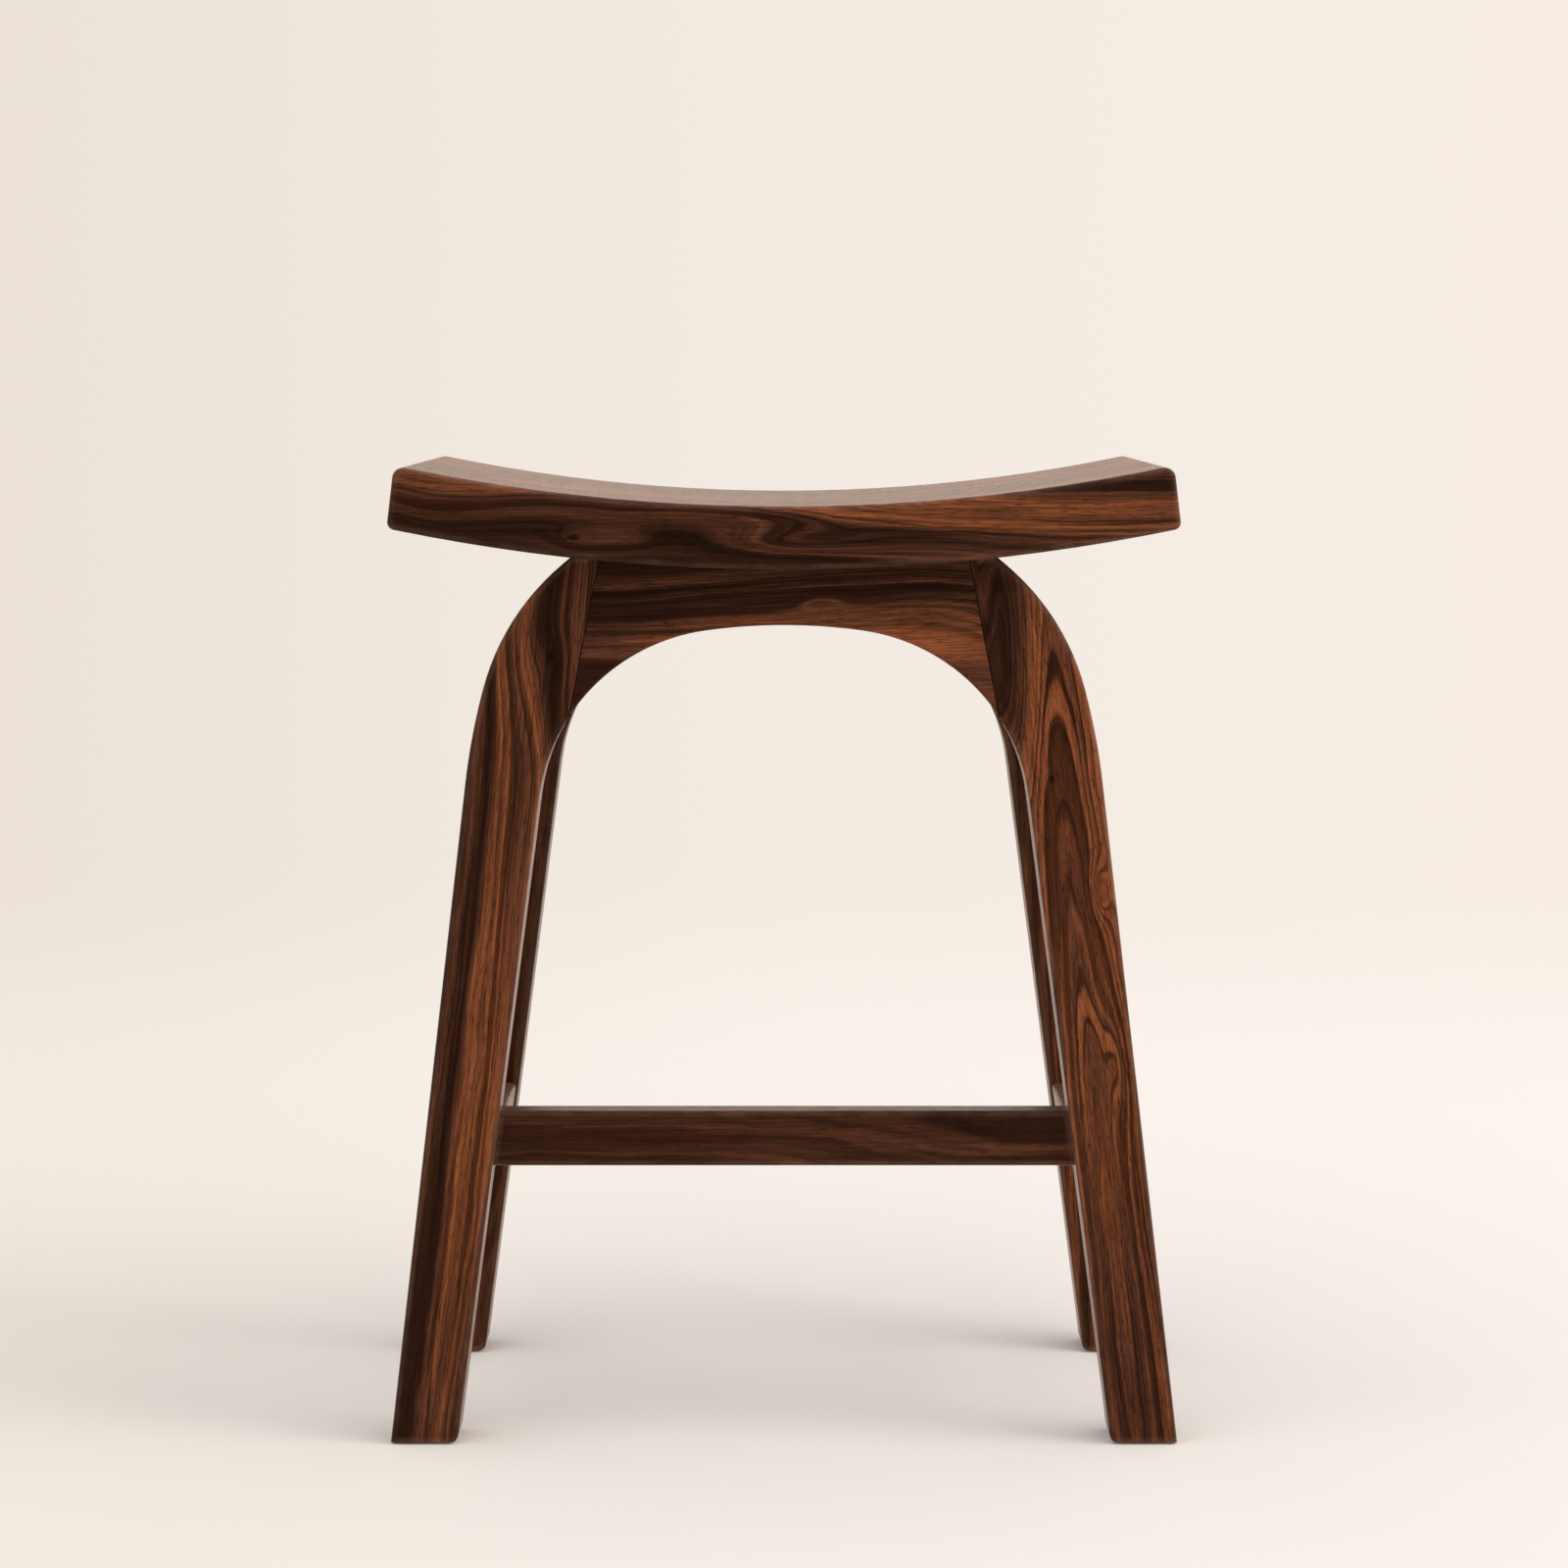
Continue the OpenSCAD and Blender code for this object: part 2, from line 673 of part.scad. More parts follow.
module seat_dowels() {
  color(dowel_tone)
    for (joint = [1:board_count - 1]) dowel_row(-seat_d / 2 + joint * board_w, dowel_l, 0);
}

module front_right_leg() { color(leg_tone) leg(true); }
module front_left_leg() { color(leg_tone) mirror([1, 0, 0]) leg(true); }
module rear_right_leg() { color(leg_tone) mirror([0, 1, 0]) leg(false); }
module rear_left_leg() { color(leg_tone) mirror([1, 0, 0]) mirror([0, 1, 0]) leg(false); }

module front_arch_rail() { color(rail_tone) arch_rail(); }
module rear_arch_rail() { color(rail_tone) mirror([0, 1, 0]) arch_rail(); }

module front_loose_tenons() {
  color(dowel_tone) for (side = [0, 1]) mirror([side, 0, 0]) loose_tenon(0, 0);
}
module rear_loose_tenons() { color(dowel_tone) mirror([0, 1, 0]) front_loose_tenons(); }

module right_side_rail() { color(rail_tone) side_rail(); }
module left_side_rail() { color(rail_tone) mirror([1, 0, 0]) side_rail(); }
module right_side_stretcher() { color(rail_tone) side_stretcher(); }
module left_side_stretcher() { color(rail_tone) mirror([1, 0, 0]) side_stretcher(); }

module front_right_corner_block() { color(block_tone) corner_block(); }
module front_left_corner_block() { color(block_tone) mirror([1, 0, 0]) corner_block(); }
module rear_right_corner_block() { color(block_tone) mirror([0, 1, 0]) corner_block(); }
module rear_left_corner_block() { color(block_tone) mirror([1, 0, 0]) mirror([0, 1, 0]) corner_block(); }

// Repeats a part at all four corners of the frame
module four_corners() {
  for (side = [0, 1]) for (face = [0, 1]) mirror([side, 0, 0]) mirror([0, face, 0]) children();
}

module corner_block_screws() {
  color(steel_tone) four_corners() {
    rail_screw(0, 0);
    side_screw(0, 0);
  }
}
module seat_screws() { color(steel_tone) four_corners() seat_screw(0, 0); }

module front_right_glide() { color(glide_tone) glide_solid(0, 0); }
module front_left_glide() { color(glide_tone) mirror([1, 0, 0]) glide_solid(0, 0); }
module rear_right_glide() { color(glide_tone) mirror([0, 1, 0]) glide_solid(0, 0); }
module rear_left_glide() { color(glide_tone) mirror([1, 0, 0]) mirror([0, 1, 0]) glide_solid(0, 0); }

seat_board_front();
seat_board_front_middle();
seat_board_rear_middle();
seat_board_rear();
seat_dowels();
front_left_leg();
front_right_leg();
rear_left_leg();
rear_right_leg();
front_arch_rail();
rear_arch_rail();
front_loose_tenons();
rear_loose_tenons();
left_side_rail();
right_side_rail();
footrest();
left_side_stretcher();
right_side_stretcher();
front_left_corner_block();
front_right_corner_block();
rear_left_corner_block();
rear_right_corner_block();
corner_block_screws();
seat_screws();
front_left_glide();
front_right_glide();
rear_left_glide();
rear_right_glide();
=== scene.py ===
"""Finishes a saddle-seat counter stool: its planks, dowels, screws and glides, and the stage it stands on."""

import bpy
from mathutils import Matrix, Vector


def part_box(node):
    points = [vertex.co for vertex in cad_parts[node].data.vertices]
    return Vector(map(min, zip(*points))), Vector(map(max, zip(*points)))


bl_info = {
    "name": "Counter Stool",
    "version": (1, 0, 0),
    "blender": (4, 5, 0),
    "location": "View3D > Sidebar > Stool",
    "description": "Gives each plank of the stool its own figure and sets the stage",
    "category": "Object",
}

import math

import bmesh
import bpy
from mathutils import Matrix, Vector

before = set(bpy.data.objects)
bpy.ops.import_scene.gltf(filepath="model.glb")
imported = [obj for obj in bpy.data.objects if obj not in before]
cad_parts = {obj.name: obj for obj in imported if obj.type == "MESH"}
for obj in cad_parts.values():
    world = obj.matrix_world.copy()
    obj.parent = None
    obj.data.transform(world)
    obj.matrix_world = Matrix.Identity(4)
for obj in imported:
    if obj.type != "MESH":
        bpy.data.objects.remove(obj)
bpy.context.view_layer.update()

# Places on the pieces, in metres and radians

SEAT_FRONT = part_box("seat_board_front")[0][1]
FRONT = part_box("front_left_leg")[0][1]
SEAT_SEAMS = [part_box("seat_board_" + name)[1][1] for name in ("front", "front_middle", "rear_middle")]
ARCH_JOINT_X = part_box("front_right_leg")[0][0]
ARCH_JOINT_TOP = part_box("front_arch_rail")[1][2]
ARCH_JOINT_FOOT = 0.46
ARCH_JOINT_LEAN = math.radians(11)

# Noise that runs along the grain, in cycles per metre along it and across it

DRIFT = (3.1, 11.0)
RIPPLE = (14.0, 60.0)
TONE = (2.0, 22.0)
FIBRE = (14.0, 850.0)
PORES_ACROSS = 2100.0

# Noise that runs along the growth rings, in cycles per metre across them and along them

RING_SHIFT = (60.0, 0.6)
RING_STRENGTH = (150.0, 1.5)
FINE_LINES = (620.0, 4.0)
BROAD_LINES = (230.0, 2.0)
CRISP_LINES = (330.0, 2.5)
CRISP_PATCHES = (110.0, 5.0)
STREAKS = (75.0, 1.3)
SLOW_TONE = (45.0, 1.0)
QUICK_TONE = (190.0, 2.0)

# Levels between which each part of the figure sets in

RING_DARKENS = (0.25, 0.93)
RING_STOPS = (1.0, 0.95)
STRONG_RINGS = (0.35, 0.65)
FINE_LINES_SHOW = (0.52, 0.66)
BROAD_LINES_SHOW = (0.54, 0.66)
CRISP_LINES_SHOW = (0.075, 0.02)
CRISP_PATCHES_SHOW = (0.38, 0.6)
STREAKS_SHOW = (0.47, 0.66)
TONE_WARMS = (1.32, 1.98)
PORES_SHOW = (0.57, 0.68)
CORE_SHOWS = (0.12, 0.01)

# How strongly the figure shows

RIPPLE_SIZE = 0.0042
MOST_RING_SHIFT = 2.2
WEAKEST_RING = 0.25
FINE_LINE_SHARE = 0.6
QUICK_TONE_SHARE = 1.3
DARK_TO_MID = (0.0, 0.5)
MID_TO_WARM = (0.42, 0.95)
FIBRE_CONTRAST = 2.1
LINE_DEPTH = 0.7
PORE_DARKNESS = 0.7
CORE_DARKNESS = 0.9
ADDED_ROUGHNESS = {"Fibre": 0.22, "Pores": 0.18, "Joint": 0.3, "Wear": -0.05}
ADDED_HEIGHT = {"Fibre": 0.35, "Pores": -1.0, "Lines": -0.2, "Joint": -2.5}

# The finish at edges and joints: the lighter edge strip is worn finish and partly a painted highlight on the
# rounded edges; solid is the share of wood round a point, widths are those of the joint line

WORN_AND_HIGHLIT_SOLID = (0.88, 0.70)
WEAR_AND_HIGHLIGHT_PATCHES = 60.0
WEAR_AND_HIGHLIGHT_PATCHES_SHOW = (0.35, 0.6)
LEAST_WORN_AND_HIGHLIT = 0.45
LINE_WIDTHS = (1.0, 0.3)
CLEAR_WIDTHS = (8.0, 14.0)
PAST_THE_END = 20.0
OIL_IOR = 1.46
# Facing levels over which the painted sheen sets in: a painted reflection, the base colour paled where the
# surface is seen along it
PAINTED_SHEEN_ANGLES = (0.72, 0.97)

# Metal and nylon: noise in cycles per metre, depths in metres

STEEL_SCRATCHES = (300.0, 4200.0, 900.0)
STEEL_SPOTS = 420.0
SPOTS_SHOW = (0.45, 0.7)
SPOT_SHADE = 0.55
SPOT_SHARE = 0.35
SCRATCH_DEPTH = 0.00004
NYLON_GRAIN = 1500.0
NYLON_SCUFFS = (120.0, 900.0, 300.0)
SCUFFS_SHOW = (0.45, 0.7)
SCUFF_HEIGHT = 0.0022
LEAST_SCUFFED = 0.2
NYLON_RELIEF = 0.00005

# Stage: places in metres, the fade in shares of the floor's radius

LAMP_PLACE = (3.1, -0.9, 3.1)
LAMP_TARGET = (0.0, 0.0, 0.3)
LAMP_TINT = (1.0, 0.985, 0.96)
FILL_TINT = (1.0, 0.988, 0.975, 1.0)
FLOOR_SIDES = 96
# Painted light: where the floor's colour goes from its left to its lighter right
FLOOR_PAINTED_LIGHT_BLEND = (-0.7, 0.1)
FLOOR_FADE = (0.35, 0.98)
CLOUDS = 0.8
CLOUD_SHARE = 0.12
CLOUD_TINT = (0.93, 0.93, 0.93)
NEAREST, FARTHEST = 0.05, 60.0

# Directions between which the light rises: x is to the right, y away from the camera and z up

# Painted light: the backdrop's colour grows lighter from its left to its right, where the lamp stands
LEFT_TO_MIDDLE = (-0.22, 0.02)
MIDDLE_TO_RIGHT = (-0.02, 0.2)
BEHIND = (-0.6, 0.5)
ABOVE = (0.3, 0.8)
BESIDE = (0.35, 0.8)

# Sockets of a Mix node that mixes colours

MIX_A, MIX_B, MIXED = 6, 7, 2


def tone(code):
    """A colour written as six hex digits, in the linear values that shaders take."""
    parts = [int(code[i:i + 2], 16) / 255 for i in (0, 2, 4)]
    return tuple(p / 12.92 if p <= 0.04045 else ((p + 0.055) / 1.055) ** 2.4 for p in parts)


def colour(name, description, code):
    """A colour that the user can change."""
    return bpy.props.FloatVectorProperty(
        name=name, description=description, subtype="COLOR", size=3, min=0, max=1, default=tone(code))


def length(name, description, default, low=0.0, high=10.0):
    """A length in metres that the user can change."""
    return bpy.props.FloatProperty(
        name=name, description=description, default=default, min=low, max=high,
        unit="LENGTH", subtype="DISTANCE", precision=4)


def share(name, description, default, high=1.0):
    """A share or a level that the user can change."""
    return bpy.props.FloatProperty(
        name=name, description=description, default=default, min=0, max=high, subtype="FACTOR")


# Settings

class StoolWood(bpy.types.PropertyGroup):
    warm: colour("Warm Wood", "Lightest, orange-brown wood", "894d2e")
    mid: colour("Middle Wood", "Brown between the streaks", "583424")
    dark: colour("Dark Streaks", "Wide dark streaks", "2d170f")
    line: colour("Grain Lines", "Thin dark lines along the growth rings", "140805")
    pale: colour("Pale Wood", "Dowels and loose tenons", "cfa97a")
    pale_line: colour("Pale Wood Lines", "Growth rings of the dowels and loose tenons", "a87a4c")
    block: colour("Block Wood", "Corner blocks", "6b4630")
    ring: length("Ring Spacing", "Distance between growth rings", 0.0052, 0.001, 0.03)
    wander: length("Ring Wander", "How far the rings stray from true circles", 0.011, 0.0, 0.05)
    pore: length("Pore Length", "Length of the open pores along the grain", 0.011, 0.001, 0.05)
    relief: length("Pore Depth", "Depth of the open pores under the finish", 0.00012, 0.0, 0.001)
    satin: share("Roughness", "Roughness of the satin finish", 0.36)
    shine: colour("Shine Tint", "Tint of what the finish mirrors when seen straight on", "8c6450")
    # The edge strip: worn finish, and partly a painted highlight on the rounded edges
    edge: length("Worn Edge", "How far the rubbed strip reaches in from an edge", 0.0045, 0.0, 0.01)
    rubbed_and_highlit: share("Edge Wear", "How much lighter the rubbed edges are", 0.16)
    worn: colour("Worn Colour", "Wood that shows where the edges are rubbed", "b28b74")
    # Painted sheen: a painted reflection, the base colour turned pale where the surface is seen along it
    painted_sheen: share("Painted Sheen", "How pale the satin finish looks along its surface", 0.27)
    painted_sheen_colour: colour("Bloom Colour", "What the finish turns to when seen along its surface", "dca98c")


class StoolJoints(bpy.types.PropertyGroup):
    width: length("Joint Line", "Width of the fine dark line where two pieces are glued", 0.0005, 0.0, 0.005)
    glue: colour("Joint Colour", "Colour of the joint line", "0d0705")


class StoolHardware(bpy.types.PropertyGroup):
    steel: colour("Steel", "Zinc-plated screws", "a9abad")
    steel_rough: share("Steel Roughness", "Roughness of the plating", 0.34)
    nylon: colour("Nylon", "Foot glides", "1f1b18")
    nylon_rough: share("Nylon Roughness", "Roughness of the glides", 0.5)


class StoolStage(bpy.types.PropertyGroup):
    # The floor is lighter at its right: painted light of the lamp at the right
    floor: colour("Floor", "Colour of the floor at its left", "f5eee6")
    floor_lit_right: colour("Floor Lit Right", "Colour of the floor at its right", "f9f3ed")
    floor_radius: length(
        "Floor Radius", "Radius at which the floor has faded into the backdrop", 3.2, 0.5, 20)
    # The backdrop grows lighter from left to right: painted light of the lamp at the right
    backdrop_shaded_left: colour("Backdrop Shaded Left", "Colour of the backdrop at its left", "ece2d7")
    backdrop: colour("Backdrop", "Colour of the backdrop in its middle", "f3ebe1")
    backdrop_lit_right: colour("Backdrop Lit Right", "Colour of the backdrop at its right", "f7ede5")
    fill: share("Fill Light", "Level of the light from all round", 0.90, 4.0)
    sheen: share("Sheen Light", "Level of what the finish mirrors on the side of the camera", 0.06, 4.0)
    sky: share("Sky Light", "Level of what the finish mirrors from above", 2.0, 4.0)
    side: share("Side Light", "Level of what the finish mirrors from the right", 2.2, 4.0)
    key: bpy.props.FloatProperty(
        name="Key Light", description="Power of the large soft lamp", default=46.0, min=0, unit="POWER")
    key_size: length("Key Size", "Width of the large soft lamp", 2.8, 0.1, 10)
    lens: bpy.props.FloatProperty(
        name="Lens", description="Focal length of the camera", default=97.02, min=10, unit="CAMERA")
    camera: bpy.props.FloatVectorProperty(
        name="Camera Place", description="Where the camera stands", subtype="TRANSLATION", unit="LENGTH",
        size=3, default=(0.0, -2.8426, 0.6991))
    pitch: bpy.props.FloatProperty(
        name="Camera Pitch", description="How far the camera looks down", subtype="ANGLE",
        default=math.radians(5.667))


# Node building

class Graph:
    """Adds nodes to one tree. A value may be a number, a tuple or another node's output."""

    def __init__(self, tree):
        self.tree = tree

    def add(self, kind, inputs=(), **settings):
        made = self.tree.nodes.new("ShaderNode" + kind)
        for key, value in settings.items():
            setattr(made, key, value)
        for key, value in dict(inputs).items():
            socket = made.inputs[key]
            if isinstance(value, bpy.types.NodeSocket):
                self.tree.links.new(value, socket)
            else:
                socket.default_value = value
        return made

    def maths(self, operation, *values, clamp=False):
        return self.add("Math", dict(enumerate(values)), operation=operation, use_clamp=clamp).outputs[0]

    def vector(self, operation, *values, output=0):
        return self.add("VectorMath", dict(enumerate(values)), operation=operation).outputs[output]

    def scaled(self, value, by):
        return self.add("VectorMath", {0: value, "Scale": by}, operation="SCALE").outputs[0]

    def split(self, value):
        return self.add("SeparateXYZ", {0: value}).outputs

    def joined(self, x, y, z):
        return self.add("CombineXYZ", {0: x, 1: y, 2: z}).outputs[0]

    def noise(self, vector, detail=2.0, roughness=0.5):
        inputs = {"Vector": vector, "Scale": 1.0, "Detail": detail, "Roughness": roughness}
        return self.add("TexNoise", inputs).outputs[0]

    def rise(self, value, low, high, least=0.0, most=1.0):
        """Goes smoothly from least at low to most at high."""
        inputs = {0: value, 1: low, 2: high, 3: least, 4: most}
        return self.add("MapRange", inputs, interpolation_type="SMOOTHSTEP").outputs[0]

    def mix(self, factor, a, b, blend="MIX"):
        made = self.add("Mix", {0: factor}, data_type="RGBA", blend_type=blend)
        for socket, value in ((made.inputs[MIX_A], a), (made.inputs[MIX_B], b)):
            if isinstance(value, bpy.types.NodeSocket):
                self.tree.links.new(value, socket)
            else:
                socket.default_value = (*value[:3], 1)
        return made.outputs[MIXED]


def group(name, inputs, outputs):
    """A new shader node group with named sockets: its graph, its inputs, and a function that ends it."""
    tree = bpy.data.node_groups.new(name, "ShaderNodeTree")
    for key, kind, default in inputs:
        socket = tree.interface.new_socket(key, in_out="INPUT", socket_type="NodeSocket" + kind)
        if default is not None:
            socket.default_value = (*default, 1) if kind == "Color" else default
    for key, kind in outputs:
        tree.interface.new_socket(key, in_out="OUTPUT", socket_type="NodeSocket" + kind)
    start = tree.nodes.new("NodeGroupInput")
    end = tree.nodes.new("NodeGroupOutput")
    graph = Graph(tree)

    def put_out(**values):
        for key, value in values.items():
            tree.links.new(value, end.inputs[key])
        return tree

    return graph, start.outputs, put_out


def shared(name, build):
    """The node group of that name, built the first time it is asked for."""
    return bpy.data.node_groups.get(name) or build(name)


def place(graph, tree, **values):
    """Puts a node group in a material, with its own values, and gives its outputs."""
    made = graph.add("Group", node_tree=tree)
    for key, value in values.items():
        socket = made.inputs[key.replace("_", " ")]
        if isinstance(value, bpy.types.NodeSocket):
            graph.tree.links.new(value, socket)
        elif socket.type == "RGBA":
            socket.default_value = (*value[:3], 1)
        else:
            socket.default_value = value
    return made.outputs


def new_material(name):
    """An empty material, its graph and the place on the piece."""
    made = bpy.data.materials.new(name)
    made.use_nodes = True
    made.node_tree.nodes.clear()
    graph = Graph(made.node_tree)
    return made, graph, graph.add("TexCoord").outputs["Object"]


def cover(graph, **inputs):
    """Ends a material with a Principled shader."""
    named = {key.replace("_", " "): value for key, value in inputs.items()}
    graph.add("OutputMaterial", {"Surface": graph.add("BsdfPrincipled", named).outputs[0]})


# Node groups

def knot_group(name):
    """A knot lifts the growth rings round it, so that they close into eyes, and darkens its middle."""
    g, take, put_out = group(
        name,
        [("Vector", "Vector", None), ("Place", "Vector", None), ("Length", "Float", 0.03),
         ("Width", "Float", 0.01), ("Lift", "Float", 0.01)],
        [("Rise", "Float"), ("Core", "Float")])
    away = g.split(g.vector("SUBTRACT", take["Vector"], take["Place"]))
    along = g.maths("POWER", g.maths("DIVIDE", away[0], take["Length"]), 2.0)
    side = g.maths("ADD", g.maths("POWER", away[1], 2.0), g.maths("POWER", away[2], 2.0))
    side = g.maths("DIVIDE", side, g.maths("POWER", take["Width"], 2.0))
    far = g.maths("ADD", along, side)
    bell = g.maths("EXPONENT", g.maths("MULTIPLY", far, -1.0))
    return put_out(Rise=g.maths("MULTIPLY", bell, take["Lift"]), Core=g.rise(far, *CORE_SHOWS))


def figure_group(name):
    """The figure of a plank: x runs along the heart of the tree, which may bow, and the rings circle it."""
    g, take, put_out = group(
        name,
        [("Vector", "Vector", None), ("Seed", "Float", 0.0), ("Rise", "Float", 0.0), ("Bow", "Float", 0.0),
         ("Ring", "Float", 0.005), ("Wander", "Float", 0.01), ("Pore", "Float", 0.01)],
        [("Field", "Float"), ("Rings", "Float"), ("Lines", "Float"), ("Streaks", "Float"), ("Tone", "Float"),
         ("Fibre", "Float"), ("Pores", "Float")])
    spot, seed = take["Vector"], take["Seed"]
    shift = g.joined(seed, g.maths("MULTIPLY", seed, 1.7), g.maths("MULTIPLY", seed, -2.3))

    def stretched(along, across, detail=2.0, roughness=0.5):
        """Noise that runs along the grain."""
        moved = g.vector("MULTIPLY_ADD", spot, (along, across, across), shift)
        return g.noise(moved, detail, roughness)

    x, y, z = g.split(spot)
    y = g.maths("SUBTRACT", y, g.maths("MULTIPLY", g.maths("POWER", x, 2.0), take["Bow"]))
    far = g.maths("SQRT", g.maths("ADD", g.maths("POWER", y, 2.0), g.maths("POWER", z, 2.0)))
    drift = g.maths("MULTIPLY", g.maths("SUBTRACT", stretched(*DRIFT, detail=1.0), 0.5), take["Wander"])
    ripple = g.maths("MULTIPLY", g.maths("SUBTRACT", stretched(*RIPPLE), 0.5), RIPPLE_SIZE)
    field = g.maths("ADD", g.maths("ADD", far, g.maths("MULTIPLY", drift, 2.0)),
                    g.maths("ADD", ripple, take["Rise"]))

    def banded(across, along, step, detail=1.0):
        """Noise that changes across the rings, and only slowly along them. Each use has its own step."""
        where = g.joined(g.maths("MULTIPLY", field, across), g.maths("MULTIPLY", x, along),
                         g.maths("ADD", seed, step))
        return g.noise(where, detail)

    shifted = g.maths("MULTIPLY", banded(*RING_SHIFT, step=3.0, detail=0.0), MOST_RING_SHIFT)
    part = g.maths("FRACT", g.maths("ADD", g.maths("DIVIDE", field, take["Ring"]), shifted))
    ring = g.maths("MULTIPLY", g.rise(part, *RING_DARKENS), g.rise(part, *RING_STOPS))
    strong = g.rise(banded(*RING_STRENGTH, step=7.0, detail=0.0), *STRONG_RINGS, WEAKEST_RING, 1.0)
    fine = g.rise(banded(*FINE_LINES, step=11.0), *FINE_LINES_SHOW)
    broad = g.rise(banded(*BROAD_LINES, step=13.0), *BROAD_LINES_SHOW)
    crest = g.maths("ABSOLUTE", g.maths("SUBTRACT", banded(*CRISP_LINES, step=17.0, detail=0.0), 0.5))
    patches = g.rise(banded(*CRISP_PATCHES, step=23.0), *CRISP_PATCHES_SHOW)
    crisp = g.maths("MULTIPLY", g.rise(crest, *CRISP_LINES_SHOW), patches)
    lines = g.maths("MAXIMUM", g.maths("MULTIPLY", fine, FINE_LINE_SHARE), g.maths("MAXIMUM", broad, crisp))
    streaks = g.rise(banded(*STREAKS, step=19.0), *STREAKS_SHOW)
    slow = g.maths("ADD", stretched(*TONE), banded(*SLOW_TONE, step=29.0))
    quick = banded(*QUICK_TONE, step=31.0, detail=2.0)
    warmth = g.rise(g.maths("MULTIPLY_ADD", quick, QUICK_TONE_SHARE, slow), *TONE_WARMS)
    fibre = stretched(*FIBRE, detail=3.0, roughness=0.6)
    dash = g.maths("DIVIDE", 1.0, take["Pore"])
    pored = g.vector("MULTIPLY_ADD", spot, g.joined(dash, PORES_ACROSS, PORES_ACROSS), shift)
    pores = g.rise(g.noise(pored, 1.0), *PORES_SHOW)
    return put_out(Field=field, Rings=g.maths("MULTIPLY", ring, strong), Lines=lines, Streaks=streaks,
                   Tone=warmth, Fibre=fibre, Pores=pores)


def finish_group(name):
    """Colour, roughness and relief of oiled wood, from its figure."""
    g, take, put_out = group(
        name,
        [("Band", "Float", 0.5), ("Rings", "Float", 0.0), ("Lines", "Float", 0.0), ("Streaks", "Float", 0.0),
         ("Tone", "Float", 0.5), ("Fibre", "Float", 0.5), ("Pores", "Float", 0.0), ("Core", "Float", 0.0),
         ("Wear", "Float", 0.0), ("Joint", "Float", 0.0),
         ("Warm", "Color", (0.2, 0.1, 0.05)), ("Mid", "Color", (0.1, 0.05, 0.03)),
         ("Dark", "Color", (0.03, 0.01, 0.01)), ("Line", "Color", (0.01, 0.005, 0.005)),
         ("Worn", "Color", (0.4, 0.2, 0.1)), ("Glue", "Color", (0.01, 0.005, 0.005)),
         ("Mottle", "Float", 0.5), ("Darkness", "Float", 0.5), ("Ring Depth", "Float", 0.5),
         ("Line Depth", "Float", 0.6), ("Satin", "Float", 0.36), ("Rubbed", "Float", 0.25)],
        [("Color", "Color"), ("Roughness", "Float"), ("Height", "Float")])
    level = g.maths("MULTIPLY_ADD", g.maths("SUBTRACT", take["Tone"], 0.5), take["Mottle"], take["Band"])
    level = g.maths("SUBTRACT", level, g.maths("MULTIPLY", take["Streaks"], take["Darkness"]))
    shade = g.mix(g.rise(level, *DARK_TO_MID), take["Dark"], take["Mid"])
    shade = g.mix(g.rise(level, *MID_TO_WARM), shade, take["Warm"])
    shade = g.mix(g.maths("MULTIPLY", take["Rings"], take["Ring Depth"]), shade, take["Dark"])
    shade = g.mix(g.maths("MULTIPLY", take["Lines"], take["Line Depth"], clamp=True), shade, take["Line"])
    light = g.maths("MULTIPLY_ADD", take["Fibre"], FIBRE_CONTRAST, 1 - FIBRE_CONTRAST / 2)
    shade = g.mix(1.0, shade, g.joined(light, light, light), "MULTIPLY")
    shade = g.mix(g.maths("MULTIPLY", take["Pores"], PORE_DARKNESS), shade, take["Line"])
    shade = g.mix(g.maths("MULTIPLY", take["Core"], CORE_DARKNESS), shade, take["Line"])
    # Edge strip: worn finish, partly a painted highlight on the rounded edges
    shade = g.mix(g.maths("MULTIPLY", take["Wear"], take["Rubbed"]), shade, take["Worn"])
    shade = g.mix(take["Joint"], shade, take["Glue"])
    rough = g.maths("SUBTRACT", take["Satin"], ADDED_ROUGHNESS["Fibre"] / 2)
    for key, added in ADDED_ROUGHNESS.items():
        rough = g.maths("MULTIPLY_ADD", take[key], added, rough)
    height = 0.0
    for key, added in ADDED_HEIGHT.items():
        height = g.maths("MULTIPLY_ADD", take[key], added, height)
    return put_out(Color=shade, Roughness=rough, Height=height)


def wear_and_highlight_group(name):
    """Lighter strip along the outer edges where hands and feet have worn the finish, and partly a painted
    highlight on the rounded edges.
    """
    g, take, put_out = group(
        name,
        [("Width", "Float", 0.0045), ("Vector", "Vector", None), ("Clear", "Float", 1.0)],
        [("Wear", "Float")])
    solid = g.add("AmbientOcclusion", {"Distance": take["Width"]}, samples=4, inside=True,
                  only_local=True).outputs["AO"]
    strip = g.rise(solid, *WORN_AND_HIGHLIT_SOLID)
    patches = g.noise(g.scaled(take["Vector"], WEAR_AND_HIGHLIGHT_PATCHES), 3.0)
    strip = g.maths("MULTIPLY", strip, g.rise(patches, *WEAR_AND_HIGHLIGHT_PATCHES_SHOW, LEAST_WORN_AND_HIGHLIT, 1.0))
    return put_out(Wear=g.maths("MULTIPLY", strip, take["Clear"]))


